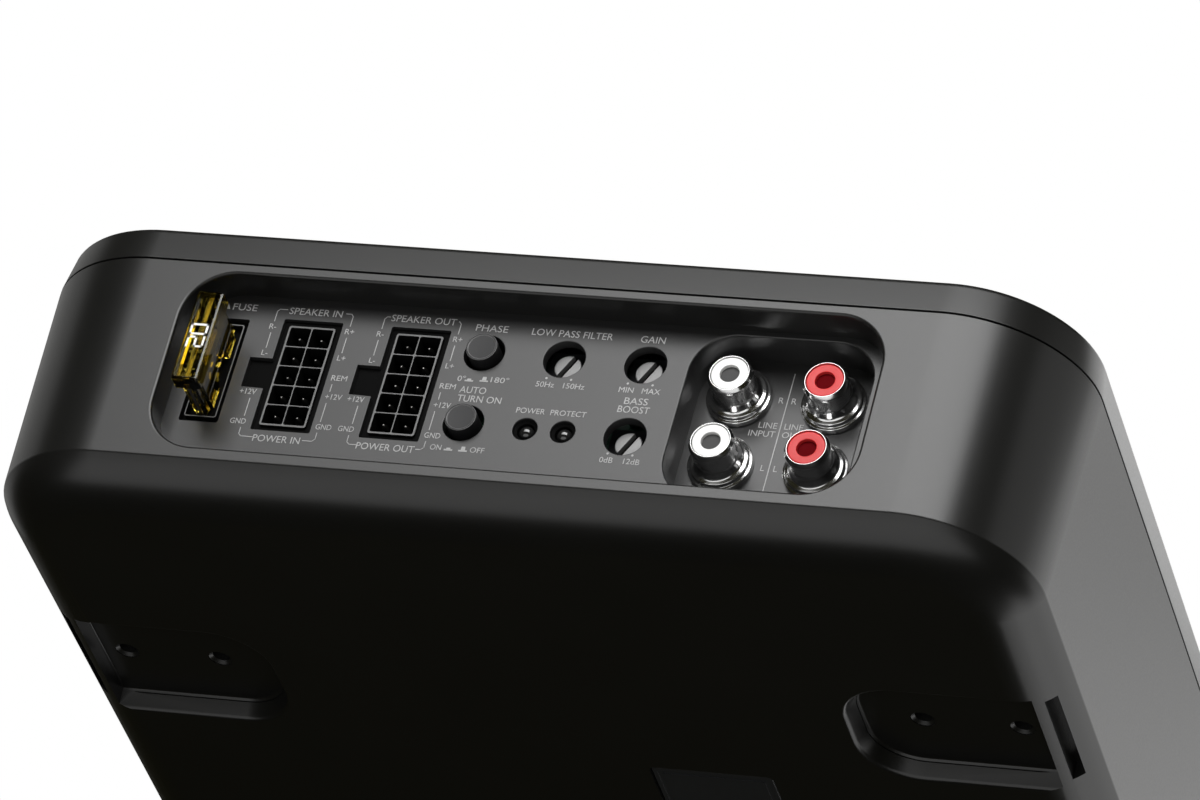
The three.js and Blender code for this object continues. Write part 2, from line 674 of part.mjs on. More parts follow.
// ---------------------------------------------------------------- buttons, trimmers, lights
function buildButton({ name, x, rise }) {
  const group = groupAt(x, panelY, recessZ + rise);
  const skirt = boardSetback - 7.4;
  add(`${name}_button`, turnedY([
    [0, -button.proud], [button.radius - 0.5, -button.proud], [button.radius, 0.5 - button.proud],
    [button.radius, skirt], [button.stem, skirt], [button.stem, skirt + 4.6], [0, skirt + 4.6],
  ], facets.jack), blackPlastic, group);
  const front = skirt + button.travel + 0.4;
  const body = box(-4, 4, front, boardSetback - seat, -4, 4);
  const bore = discY(button.stem + gap, front - 1, boardSetback - 0.4, facets.jack);
  add(`${name}_switch`, cut(body, bore), blackPlastic, group);
}

function buildTrimmer({ name, x, rise }) {
  const group = groupAt(x, panelY, recessZ + rise);
  const headEnd = trimmer.setback + 2.9;
  const spindleEnd = headEnd + 3.4;
  const shaft = turnedY([
    [0, trimmer.setback], [trimmer.radius, trimmer.setback], [trimmer.radius, headEnd],
    [trimmer.spindle, headEnd], [trimmer.spindle, spindleEnd], [0, spindleEnd],
  ], facets.jack);
  const half = trimmer.slot / 2;
  const groove = box(-half, half, 0, trimmer.setback + 1.2, -4, 4);
  const turned = groove.rotate([0, trimmer.parked, 0]);
  add(`${name}_shaft`, cut(shaft, turned), nickel, group);
  const front = headEnd + gap;
  const body = box(-4.8, 4.8, front, boardSetback - seat, -5, 5);
  const bore = discY(trimmer.spindle + gap, front - 1, spindleEnd + gap, facets.jack);
  add(`${name}_trimmer`, cut(body, bore), sleeveBlack, group);
}

function buildLed({ name, x, rise }) {
  const group = groupAt(x, panelY, recessZ + rise);
  const profile = [[0, 0.4]];
  for (let step = 1; step <= 4; step += 1) {
    const angle = (step / 4) * Math.PI / 2;
    profile.push([led.radius * Math.sin(angle), 0.4 + led.radius * (1 - Math.cos(angle))]);
  }
  const collarY = 4.4;
  profile.push([led.radius, collarY], [led.radius + 0.4, collarY], [led.radius + 0.4, collarY + 1]);
  profile.push([0.9, collarY + 1], [0.9, boardSetback - seat], [0, boardSetback - seat]);
  add(`${name}_light`, turnedY(profile, facets.small), sleeveBlack, group);
}

// ---------------------------------------------------------------- line jacks
function buildJack(column, row) {
  const floor = panelY + jackPocket.depth;
  const group = groupAt(column.x, floor, recessZ + row.rise);
  const { barrel, flange, length, insulator, socket } = jack;
  const bushEnd = boardY - floor - seat;
  const shell = turnedY([
    [insulator + 0.15, -length], [barrel - 0.25, -length], [barrel, -length + 0.4],
    [barrel, -length + 1.5], [barrel - 0.3, -length + 1.9], [barrel - 0.3, -3.4],
    [barrel + 0.5, -2.6], [flange - 1, -1.5], [flange, -1.1], [flange, -seat],
    [barrel - 0.2, -seat], [barrel - 0.2, bushEnd], [insulator + 0.15, bushEnd],
  ], facets.jack);
  const name = `${column.name}_${row.side}`;
  add(`${name}_shell`, shell, nickel, group);
  const lining = turnedY([
    [socket, 0.1 - length], [insulator, 0.1 - length], [insulator, bushEnd], [0, bushEnd],
    [0, -1], [socket, -1],
  ], facets.jack);
  add(`${name}_insulator`, lining, finish(column.colour, 0.4, 0), group);
}

// ---------------------------------------------------------------- electronics
function buildElectronics() {
  const bottom = recessTop - recess.height - collarWall;
  const controlBoard = box(
    recess.x - recess.width / 2, recess.x + recess.width / 2, boardY, boardY + boardThickness,
    bottom + 1, splitZ - 3,
  );
  add('control_board', controlBoard, boardGreen);

  const front = frontY + mainBoard.front;
  const rear = partitionY - mainBoard.rear;
  const z = mainBoard.z + seat;
  const top = z + boardThickness;
  add('main_board', box(-mainBoard.halfWidth, mainBoard.halfWidth, front, rear, z, top), boardGreen);
  const on = top + seat;
  const rowY = (front + rear) / 2 - partsSetback;

  for (const coil of coils) {
    const [inner, outer, bevel] = [coil.inner, coil.outer, coilBevel];
    add(coil.name, turnedZ([
      [inner, bevel], [inner + bevel, 0], [outer - bevel, 0], [outer, bevel],
      [outer, coil.height - bevel], [outer - bevel, coil.height],
      [inner + bevel, coil.height], [inner, coil.height - bevel],
    ], facets.jack), copper, groupAt(coil.x, rowY, on));
  }
  for (let i = 0; i < capacitors.count; i += 1) {
    const { radius, height: tall, bevel } = capacitors;
    add(`capacitor_${i + 1}`, turnedZ([
      [0, 0], [radius - bevel, 0], [radius, 1.5 * bevel], [radius, tall - 1.5 * bevel],
      [radius - bevel, tall], [0, tall],
    ], facets.jack), sleeveBlack, groupAt(capacitors.firstX + i * capacitors.pitch, rowY, on));
  }
  const sinkFront = rear - heatSink.depth;
  const sinkTop = on + heatSink.height;
  const fins = [];
  for (let i = 0; i < heatSink.fins; i += 1) {
    const x = (i - (heatSink.fins - 1) / 2) * heatSink.pitch;
    fins.push(box(
      x - heatSink.fin / 2, x + heatSink.fin / 2, sinkFront + heatSink.plate - 1, rear - 1, on, sinkTop,
    ));
  }
  const plate = box(
    -heatSink.halfWidth, heatSink.halfWidth, sinkFront, sinkFront + heatSink.plate, on, sinkTop,
  );
  add('heat_sink', join(plate, ...fins), finish(0x9a9da0, 0.45, 0.9));
  [-transistor.x, transistor.x].forEach((x, i) => {
    add(`power_transistor_${i + 1}`, box(
      x - transistor.halfWidth, x + transistor.halfWidth,
      sinkFront - transistor.thickness, sinkFront - seat, on, on + transistor.height,
    ), sleeveBlack);
  });
}

function buildPartition() {
  const rear = partitionY + partition.thickness;
  const roof = splitZ - partition.coverGap;
  const slab = box(-width, width, partitionY, rear, wall + gap, roof);
  const low = slab.intersect(loft(caseLevels(wall + gap, splitZ)));
  const shoulder = width / 2 - wall - partition.shoulder;
  const high = box(-shoulder, shoulder, partitionY, rear, splitZ - 5, plateTop - gap);
  add('amp_partition', join(low, high), blackPlastic);
}

function buildLabel() {
  const [halfX, halfY] = [label.width / 2 - gap, label.length / 2 - gap];
  const y = frontY + label.setback;
  const plate = box(
    label.x - halfX, label.x + halfX, y - halfY, y + halfY, 0.25, label.depth - seat,
  );
  add('label_plate', plate, sleeveBlack);
}

function buildGasket() {
  const ring = cut(
    loft([[splitZ + seat, 0.7], [coverZ - seat, 0.7]]),
    loft([[splitZ - 1, wall - 0.1], [coverZ + 1, wall - 0.1]]),
  );
  add('cover_gasket', ring, darkRubber);
}

add('lower_case', buildLowerCase(), casePaint);
add('top_cover', buildTopCover(), casePaint);
buildGasket();
buildPartition();
buildLabel();
buildPanel();
buildFuse();
headers.forEach(buildHeader);
buttons.forEach(buildButton);
trimmers.forEach(buildTrimmer);
leds.forEach(buildLed);
jackColumns.forEach((column) => jackRows.forEach((row) => buildJack(column, row)));
buildElectronics();
buildWoofer();
buildGrille();
buildWooferScrews();

export default part;
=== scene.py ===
# Looks for the car subwoofer amplifier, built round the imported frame. Lengths are in millimetres
# until a mesh is made, which is in metres, in the frame's own axes.
import json
import math

import bmesh
import bpy
from mathutils import Matrix, Vector


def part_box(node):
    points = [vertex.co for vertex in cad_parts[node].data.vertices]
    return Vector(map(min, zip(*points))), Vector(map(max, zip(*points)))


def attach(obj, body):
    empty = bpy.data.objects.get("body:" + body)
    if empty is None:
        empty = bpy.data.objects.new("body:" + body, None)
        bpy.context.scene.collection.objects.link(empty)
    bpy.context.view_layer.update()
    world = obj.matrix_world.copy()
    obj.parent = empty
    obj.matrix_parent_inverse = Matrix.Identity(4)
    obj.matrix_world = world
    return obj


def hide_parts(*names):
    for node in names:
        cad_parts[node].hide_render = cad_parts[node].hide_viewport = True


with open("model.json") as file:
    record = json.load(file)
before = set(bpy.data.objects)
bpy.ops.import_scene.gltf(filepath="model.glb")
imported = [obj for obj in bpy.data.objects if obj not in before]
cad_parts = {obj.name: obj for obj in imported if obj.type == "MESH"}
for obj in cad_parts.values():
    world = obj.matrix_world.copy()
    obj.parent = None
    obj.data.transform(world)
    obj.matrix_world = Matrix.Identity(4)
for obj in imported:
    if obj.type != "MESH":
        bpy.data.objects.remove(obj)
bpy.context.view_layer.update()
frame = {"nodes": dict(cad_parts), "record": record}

MM = 0.001
ENCLOSURE = "enclosure"


# ---- sizes read from the frame
def node_box(node):
    """Lowest and highest corner of a CAD node, in millimetres."""
    low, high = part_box(node)
    return Vector(low) / MM, Vector(high) / MM


def centre(node):
    low, high = node_box(node)
    return (low + high) / 2


case_low, case_high = node_box("lower_case")

FRONT = case_low.y
PANEL = node_box("control_panel")[0].y  # front face of the control panel
SPLIT = case_high.z                    # top of the lower case
TOP = node_box("top_cover")[1].z
MIDDLE = (case_low.y + case_high.y) / 2
WALL = 3.0
GAP = 0.3                              # round what sits in a cut
COVER_GAP = 0.6
SEAM_LIP = 0.13                        # how far each outer edge reaches into the gap
CORNER = 25.0
ROLL_RADIUS = 12.5
ROLL_ANGLE = math.radians(62)
WALL_ANGLE = math.radians(88)
WALL_LEAN = 1.4                        # lean of the side walls between crease and split
COVER_LEAN = 0.85
CREASE_RADIUS = 1.0
CREASE = ROLL_RADIUS * (1 - math.cos(ROLL_ANGLE))

RECESS = {"left": -66.05, "right": 66.55, "bottom": SPLIT - 38.4, "top": SPLIT - 1.8, "radius": 9.5}
RECESS_MIDDLE = (RECESS["bottom"] + RECESS["top"]) / 2
COLLAR = 2.2
PANEL_THICK = 2.0
WOOFER_MOUTH = 72.0                    # radius of the cover's opening for the woofer
POCKET_DEPTH = 8.0
POCKET = {
    "left": 29.3, "right": 63.4, "radius": 8.0,
    "bottom": RECESS_MIDDLE - 17.2, "top": RECESS_MIDDLE + 17.2,
}


# ---- outlines
def rounded_rectangle(left, right, bottom, top, radius, steps=10):
    """Anticlockwise points of a rectangle with round corners."""
    corners = [
        (right - radius, bottom + radius, -90), (right - radius, top - radius, 0),
        (left + radius, top - radius, 90), (left + radius, bottom + radius, 180),
    ]
    points = []
    for x, y, start in corners:
        for step in range(steps + 1):
            angle = math.radians(start + 90 * step / steps)
            points.append((x + radius * math.cos(angle), y + radius * math.sin(angle)))
    return points


def grown(rectangle, grow, steps=10):
    return rounded_rectangle(
        rectangle["left"] - grow, rectangle["right"] + grow,
        rectangle["bottom"] - grow, rectangle["top"] + grow, rectangle["radius"] + grow, steps,
    )


def frame_round(low, high, grow, radius, steps=10, up="z"):
    """Rounded rectangle round a box, in x and z, or in x and y."""
    bottom, top = getattr(low, up) - grow, getattr(high, up) + grow
    return rounded_rectangle(low.x - grow, high.x + grow, bottom, top, radius, steps)


def square_round(x, z, half, radius):
    return rounded_rectangle(x - half, x + half, z - half, z + half, radius, 3)


def case_outline(inset):
    half_x = case_high.x - inset
    half_y = (case_high.y - case_low.y) / 2 - inset
    points = rounded_rectangle(-half_x, half_x, -half_y, half_y, CORNER - inset, 24)
    return [(x, y + MIDDLE) for x, y in points]


def filleted(corners, steps=4):
    """Closed outline through (x, y, radius) corners, each rounded by an arc."""
    points = []
    count = len(corners)
    for i, (x, y, radius) in enumerate(corners):
        here = Vector((x, y))
        if radius <= 0:
            points.append((x, y))
            continue
        before = Vector(corners[i - 1][:2]) - here
        after = Vector(corners[(i + 1) % count][:2]) - here
        first, second = before.normalized(), after.normalized()
        half = first.angle(second) / 2
        if half > math.radians(89):
            points.append((x, y))
            continue
        reach = min(radius / math.tan(half), before.length * 0.49, after.length * 0.49)
        start, end = here + first * reach, here + second * reach
        for step in range(steps + 1):
            t = step / steps
            bend = start * (1 - t) ** 2 + here * (2 * t * (1 - t)) + end * t ** 2
            points.append((bend.x, bend.y))
    return points


# ---- meshes
def add_object(name, data):
    made = bpy.data.objects.new(name, data)
    bpy.context.scene.collection.objects.link(made)
    return made


def mesh_object(name, points, faces):
    mesh = bpy.data.meshes.new(name)
    mesh.from_pydata([Vector(p) * MM for p in points], [], faces)
    mesh.validate()
    return add_object(name, mesh)


def skin(name, rings):
    """Closed solid through rings of points, in order, with a flat face at each end."""
    count = len(rings[0])
    points = [p for ring in rings for p in ring]
    faces = [list(range(count))[::-1], [len(points) - count + i for i in range(count)]]
    for level in range(len(rings) - 1):
        low = level * count
        for i in range(count):
            j = (i + 1) % count
            faces.append([low + i, low + j, low + count + j, low + count + i])
    return outward(mesh_object(name, points, faces))


def outward(made):
    """Turns the faces of a closed mesh outward."""
    work = bmesh.new()
    work.from_mesh(made.data)
    bmesh.ops.recalc_face_normals(work, faces=work.faces)
    if work.calc_volume(signed=True) < 0:
        bmesh.ops.reverse_faces(work, faces=work.faces)
    work.to_mesh(made.data)
    work.free()
    return made


def prism_z(name, outline, low, high):
    return skin(name, [[(x, y, z) for x, y in outline] for z in (low, high)])


def prism_y(name, outline, near, far):
    return skin(name, [[(x, y, z) for x, z in outline] for y in (far, near)])


def block(name, low, high):
    (x0, y0, z0), (x1, y1, z1) = low, high
    outline = [(x0, y0), (x1, y0), (x1, y1), (x0, y1)]
    return prism_z(name, outline, z0, z1)


def turned(name, profile, at, along="y", segments=48):
    """Solid turned from a closed profile of (radius, distance) points about an axis through at."""
    points, faces = [], []
    index = []
    for radius, distance in profile:
        ring = []
        for k in range(1 if radius < 1e-6 else segments):
            angle = math.tau * k / segments
            u, v = radius * math.cos(angle), radius * math.sin(angle)
            local = Vector((u, distance, v)) if along == "y" else Vector((u, v, distance))
            ring.append(len(points))
            points.append(local + Vector(at))
        index.append(ring)
    for i, ring in enumerate(index):
        following = index[(i + 1) % len(index)]
        if len(ring) == 1 and len(following) == 1:
            continue
        for k in range(segments):
            quad = [
                ring[k % len(ring)], ring[(k + 1) % len(ring)],
                following[(k + 1) % len(following)], following[k % len(following)],
            ]
            faces.append(list(dict.fromkeys(quad)))
    return outward(mesh_object(name, points, faces))


def disc(radius, low, high):
    """Profile of a plain disc, for turned."""
    return [(0, low), (radius, low), (radius, high), (0, high)]


def evaluated_mesh(made):
    graph = bpy.context.evaluated_depsgraph_get()
    return bpy.data.meshes.new_from_object(made.evaluated_get(graph))


def apply_modifiers(made):
    mesh = evaluated_mesh(made)
    made.modifiers.clear()
    old, made.data = made.data, mesh
    bpy.data.meshes.remove(old)
    return made


def combine(made, tools, operation):
    """Joins or cuts a solid with others, which are used up."""
    for tool in tools:
        step = made.modifiers.new("combine", "BOOLEAN")
        step.operation = operation
        step.solver = "MANIFOLD"
        step.object = tool
    apply_modifiers(made)
    for tool in tools:
        bpy.data.objects.remove(tool)
    return made


def carve(made, *tools):
    return combine(made, tools, "DIFFERENCE")


def fuse_with(made, *tools):
    return combine(made, tools, "UNION")


def gather(made, others):
    """One object from several, each keeping its own closed mesh and materials."""
    with bpy.context.temp_override(
        active_object=made, object=made, selected_objects=[made, *others],
        selected_editable_objects=[made, *others],
    ):
        bpy.ops.object.join()
    return made


def soften(made, width):
    """Small round edges on a mesh of flat faces."""
    edge = made.modifiers.new("edges", "BEVEL")
    edge.width = width * MM
    edge.segments = 2
    edge.limit_method = "ANGLE"
    edge.angle_limit = math.radians(35)
    return apply_modifiers(made)


def smooth(made, angle=38):
    made.data.shade_smooth()
    made.data.set_sharp_from_angle(angle=math.radians(angle))
    weights = made.modifiers.new("normals", "WEIGHTED_NORMAL")
    weights.keep_sharp = True
    return apply_modifiers(made)


def mouth_rings(shape, near, depth, radius, lean=None):
    """Rings of a cutter whose mouth flares into a rounded edge. shape(grow) gives x, z points."""
    start = near - (6 if lean else 3)
    rings = [[(x, start, z) for x, z in shape(radius)]]
    for step in range(6):
        angle = math.pi / 2 * step / 5
        y = near + radius * (1 - math.cos(angle))
        rings.append([
            (x, y + (lean(z) if lean else 0), z) for x, z in shape(radius * (1 - math.sin(angle)))
        ])
    rings.append([(x, near + depth, z) for x, z in shape(0)])
    return rings


def round_cutter(at, radius, near, far, edge=0.2):
    """Cutter for a round hole in the panel, with a softly rounded mouth."""
    profile = [(0, near - 3), (radius + edge, near - 3)]
    for step in range(5):
        angle = math.pi / 2 * step / 4
        profile.append((radius + edge * (1 - math.sin(angle)), near + edge * (1 - math.cos(angle))))
    profile += [(radius, far), (0, far)]
    return turned("hole", profile, (at.x, 0, at.z), segments=40)


# ---- materials
def set_sockets(node, **values):
    for socket, value in values.items():
        node.inputs[socket.replace("_", " ")].default_value = value


def noise_layer(nodes, links, scale, detail=3.0):
    place = nodes.new("ShaderNodeTexCoord")
    noise = nodes.new("ShaderNodeTexNoise")
    set_sockets(noise, Scale=scale, Detail=detail, Roughness=0.5)
    links.new(place.outputs["Object"], noise.inputs["Vector"])
    return noise


def ranged(nodes, links, source, low, high):
    spread = nodes.new("ShaderNodeMapRange")
    set_sockets(spread, From_Min=0.3, From_Max=0.7, To_Min=low, To_Max=high)
    links.new(source, spread.inputs["Value"])
    return spread.outputs["Result"]


def surface(name, color, rough, metal=0.0, grain=1500.0, bump=0.05, tint=0.06, cloud=30.0, **sockets):
    """Procedural finish: cloudy colour and gloss, with a fine grain in the surface."""
    material = bpy.data.materials.new(name)
    material.use_nodes = True
    nodes, links = material.node_tree.nodes, material.node_tree.links
    shader = nodes["Principled BSDF"]
    set_sockets(shader, Metallic=metal, **sockets)
    wide = noise_layer(nodes, links, cloud)
    fine = noise_layer(nodes, links, grain, 2.0)
    ramp = nodes.new("ShaderNodeValToRGB")
    ramp.color_ramp.elements[0].position, ramp.color_ramp.elements[1].position = 0.3, 0.7
    ramp.color_ramp.elements[0].color = (*[c * (1 - tint) for c in color], 1)
    ramp.color_ramp.elements[1].color = (*[min(1, c * (1 + tint)) for c in color], 1)
    links.new(wide.outputs["Fac"], ramp.inputs["Fac"])
    links.new(ramp.outputs["Color"], shader.inputs["Base Color"])
    gloss = ranged(nodes, links, fine.outputs["Fac"], rough * 0.92, min(1, rough * 1.08))
    links.new(gloss, shader.inputs["Roughness"])
    if bump > 0:
        relief = nodes.new("ShaderNodeBump")
        set_sockets(relief, Strength=bump, Distance=0.05 * MM)
        links.new(fine.outputs["Fac"], relief.inputs["Height"])
        links.new(relief.outputs["Normal"], shader.inputs["Normal"])
    return material


def woven(name, color, rough, pitch):
    """Cloth with crossing threads."""
    material = surface(name, color, rough, bump=0, tint=0.15, cloud=200)
    nodes, links = material.node_tree.nodes, material.node_tree.links
    place = nodes.new("ShaderNodeTexCoord")
    threads = []
    for direction in ("X", "Y"):
        wave = nodes.new("ShaderNodeTexWave")
        wave.bands_direction = direction
        wave.inputs["Scale"].default_value = 1 / (pitch * MM) / 6.28
        links.new(place.outputs["Object"], wave.inputs["Vector"])
        threads.append(wave)
    total = nodes.new("ShaderNodeMath")
    links.new(threads[0].outputs["Fac"], total.inputs[0])
    links.new(threads[1].outputs["Fac"], total.inputs[1])
    relief = nodes.new("ShaderNodeBump")
    set_sockets(relief, Strength=0.4, Distance=0.1 * MM)
    links.new(total.outputs["Value"], relief.inputs["Height"])
    links.new(relief.outputs["Normal"], nodes["Principled BSDF"].inputs["Normal"])
    return material


MATERIALS = {
    "case_paint": surface("satin_case_paint", (0.009, 0.009, 0.0086), 0.30, grain=2600, bump=0.06),
    "panel_paint": surface("satin_panel_paint", (0.018, 0.018, 0.0182), 0.33, grain=3200, bump=0.08),
    "black_plastic": surface("moulded_black", (0.006, 0.006, 0.006), 0.38, grain=1800, bump=0.05),
    "grille_steel": surface("powder_coat", (0.016, 0.016, 0.017), 0.55, grain=4200, bump=0.35),
    "rubber": surface("black_rubber", (0.010, 0.010, 0.010), 0.75, grain=2500, bump=0.15),
    "tinned_metal": surface("tin_plate", (0.26, 0.25, 0.24), 0.35, 1.0, grain=900, bump=0.08),
    "nickel_plate": surface("nickel_plate", (0.72, 0.72, 0.72), 0.17, 1.0, grain=1200, bump=0.01),
    "white_plastic": surface(
        "white_plastic", (0.82, 0.82, 0.81), 0.22, grain=900, bump=0.02, tint=0.02,
    ),
    "red_plastic": surface(
        "red_plastic", (0.58, 0.030, 0.032), 0.30, grain=900, bump=0.02, tint=0.04,
        Specular_IOR_Level=0.25,
    ),
    "dark_plastic": surface("dark_plastic", (0.018, 0.019, 0.021), 0.40, grain=1600, bump=0.05),
    "circuit_board": surface(
        "solder_mask", (0.015, 0.085, 0.045), 0.35, grain=700, tint=0.2, cloud=150,
    ),
    "copper_winding": surface("copper_wire", (0.55, 0.21, 0.08), 0.30, 1.0, grain=500, bump=0.6),
    "bare_aluminium": surface("bare_aluminium", (0.60, 0.60, 0.61), 0.38, 1.0, grain=1400, bump=0.2),
    "steel": surface("zinc_steel", (0.42, 0.42, 0.43), 0.33, 1.0, grain=800, bump=0.1),
    "ferrite": surface("ground_ferrite", (0.035, 0.035, 0.037), 0.60, grain=900, bump=0.3, tint=0.15),
    "black_paper": surface(
        "pressed_fibre", (0.014, 0.014, 0.014), 0.80, grain=1100, bump=0.5, tint=0.2,
    ),
    "spider_cloth": woven("spider_cloth", (0.40, 0.25, 0.08), 0.85, 0.6),
    "lamp_lens": surface(
        "smoked_lens", (0.012, 0.012, 0.012), 0.06, bump=0, Coat_Weight=1.0, Coat_Roughness=0.03,
    ),
    "amber_plastic": surface(
        "clear_amber", (0.48, 0.37, 0.05), 0.02, bump=0, tint=0.08, cloud=120,
        Transmission_Weight=1.0, IOR=1.50, Specular_IOR_Level=0.2,
    ),
}
# Matt black: the real colour of the black housings and the lamp bezels, and painted shade in the
# trimmer slots.
MATT_BLACK_AND_PAINTED_SHADE = surface("matt_black_and_painted_shade", (0.004, 0.004, 0.004), 0.6, grain=1500, Specular_IOR_Level=0.02)
LEGEND_INK = surface("legend_ink", (0.36, 0.36, 0.36), 0.5, grain=3000, bump=0.02)
FUSE_INK = surface("fuse_number_ink", (0.90, 0.90, 0.90), 0.45, grain=3000, bump=0.02, tint=0.02)
BUTTON = surface(
    "button_plastic", (0.012, 0.012, 0.013), 0.40, grain=2400, bump=0.08, Specular_IOR_Level=0.28,
)
# Painted highlight: a lighter grey for thin edges and rims, standing in for the light they catch.
PAINTED_EDGE_HIGHLIGHT = surface("painted_edge_highlight", (0.11, 0.11, 0.11), 0.42, grain=2000, bump=0.05)
# Painted shade: the tinned pin bodies are darkened where they sit deep in the cells.
PAINTED_SHADE_PIN = surface("shaded_pin", (0.030, 0.029, 0.027), 0.35, 0.8, grain=900, bump=0.05)
TRIMMER_FACE = surface("trimmer_face", (0.18, 0.18, 0.18), 0.42, 0.2, grain=1500, bump=0.12)
# Painted shade: darker copies of the white and red insulators, for the floor of each jack's centre
# hole.
PAINTED_SHADE_WHITE_HOLE = surface("painted_shade_white_hole", (0.065, 0.065, 0.065), 0.5, grain=900, Specular_IOR_Level=0.1)
PAINTED_SHADE_RED_HOLE = surface("painted_shade_red_hole", (0.10, 0.001, 0.003), 0.6, grain=900, Specular_IOR_Level=0.02)


def paint(made, material):
    """Gives the whole mesh one finish."""
    made.data.materials.clear()
    made.data.materials.append(material)
    made.data.polygons.foreach_set("material_index", [0] * len(made.data.polygons))
    return made


def finish_piece(made, material_slot, replaced=(), body=ENCLOSURE, material=None, angle=38):
    """Shading, finish and place in the motion for a finished piece."""
    smooth(made, angle)
    if not any(made.data.materials):
        paint(made, material or MATERIALS[material_slot])
    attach(made, body)
    if replaced:
        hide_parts(*replaced)


# ---- enclosure
def wall_lean(z):
    """How far the side wall stands in from the split line's outline at a height."""
    return WALL_LEAN * (SPLIT - z) / (SPLIT - CREASE)


def case_levels(thickness, top):
    """(height, inset) down the case's skin, from the flat underside to the split."""
    roll_width = ROLL_RADIUS * math.sin(ROLL_ANGLE)
    radius = ROLL_RADIUS - thickness
    levels = []
    for step in range(13):
        angle = ROLL_ANGLE * step / 12
        levels.append((
            ROLL_RADIUS - radius * math.cos(angle), WALL_LEAN + roll_width - radius * math.sin(angle),
        ))
    if thickness:
        return levels + [(top, thickness)]
    z, inset = levels[-1]
    for step in range(1, 5):
        angle = ROLL_ANGLE + (WALL_ANGLE - ROLL_ANGLE) * step / 4
        levels.append((
            z + CREASE_RADIUS * (math.cos(ROLL_ANGLE) - math.cos(angle)),
            inset - CREASE_RADIUS * (math.sin(angle) - math.sin(ROLL_ANGLE)),
        ))
    lip = top + SEAM_LIP
    return levels + [(lip - 0.15, 0.0), (lip - 0.04, 0.04), (lip, 0.15), (lip, 0.6), (top, 0.7)]


def case_skin(name, levels):
    return skin(name, [[(x, y, z) for x, y in case_outline(inset)] for z, inset in levels])


BRACKET = {"inner": 56.0, "outer": 91.5, "half": 14.0, "depth": 3.8, "radius": 10.0}
BRACKET_ROWS = [MIDDLE - 72.5, MIDDLE + 72.5]
BRACKET_HOLES = [67.8, 86.4]
FLANGE_SLOT = {"from": 93.5, "to": 95.6, "half": 13.0, "depth": 5.4}
BOSS = {"radius": 4.2, "from": 5.0, "to": 13.0}
PILOT = {"mouth": 2.3, "radius": 1.7, "end": 11.0}

# Height and growth of the pocket's leaning wall, rounded at the mouth and at the floor.
POCKET_WALL = [
    (-1, 1.5), (0, 1.5), (0.08, 1.15), (0.3, 0.85), (0.7, 0.6), (3.2, -0.55), (3.6, -0.8), (3.8, -1.2),
]


def bracket_outline(side, y, grow):
    """Pocket seen from above: square at the outer end, round at the inner end."""
    inner, outer = BRACKET["inner"] - grow, BRACKET["outer"] + min(grow, 0.4) * 0.4
    half, radius = BRACKET["half"] + grow, BRACKET["radius"] + grow
    points = [(outer, y - half), (outer, y + half)]
    for start in (90, 180):
        turn_y = y + (half - radius) * (1 if start == 90 else -1)
        for step in range(13):
            angle = math.radians(start + 90 * step / 12)
            points.append((
                inner + radius * (1 + math.cos(angle)), turn_y + radius * math.sin(angle),
            ))
    return [(side * x, yy) for x, yy in points]


def build_case():
    made = case_skin("case_shell", case_levels(0, SPLIT))
    inner = case_skin("case_hollow", case_levels(WALL, SPLIT + 1))
    carve(made, inner)
    collar = prism_y(
        "collar", rounded_rectangle(
            RECESS["left"] - COLLAR, RECESS["right"] + COLLAR, RECESS["bottom"] - COLLAR,
            SPLIT - 0.4, RECESS["radius"] + COLLAR,
        ), FRONT + WALL / 2, PANEL - 0.05,
    )
    pads, cuts = [collar], []
    for y in BRACKET_ROWS:
        for side in (-1, 1):
            grown_pad = bracket_outline(side, y, WALL - 0.6)
            pads.append(prism_z("pad", grown_pad, BRACKET["depth"] - 0.6, BRACKET["depth"] + WALL))
            cuts.append(skin("pocket", [
                [(x, yy, z) for x, yy in bracket_outline(side, y, grow)]
                for z, grow in POCKET_WALL
            ]))
            low, high = sorted((side * FLANGE_SLOT["from"], side * FLANGE_SLOT["to"]))
            cuts.append(block(
                "slot", (low, y - FLANGE_SLOT["half"], -1),
                (high, y + FLANGE_SLOT["half"], FLANGE_SLOT["depth"]),
            ))
            for x in BRACKET_HOLES:
                at = (side * x, y, 0)
                pads.append(turned("boss", disc(*BOSS.values()), at, "z", 24))
                floor = BRACKET["depth"]
                mouth, radius, end = PILOT.values()
                pilot = [
                    (0, -1), (mouth, -1), (mouth, floor + 0.2), (radius, floor + 0.7),
                    (radius, end), (0, end),
                ]
                cuts.append(turned("pilot", pilot, at, "z", 32))
    fuse_with(made, *pads)
    cuts.append(skin("recess", mouth_rings(
        lambda grow: grown(RECESS, grow, 16), FRONT, PANEL - FRONT + 1, 0.55, wall_lean,
    )))
    low, high = node_box("label_plate")
    cuts.append(prism_z("label_bed", frame_round(low, high, GAP, 1.2, up="y"), -1, 1.0))
    carve(made, *cuts)
    finish_piece(made, "case_paint", ["lower_case"], angle=30)


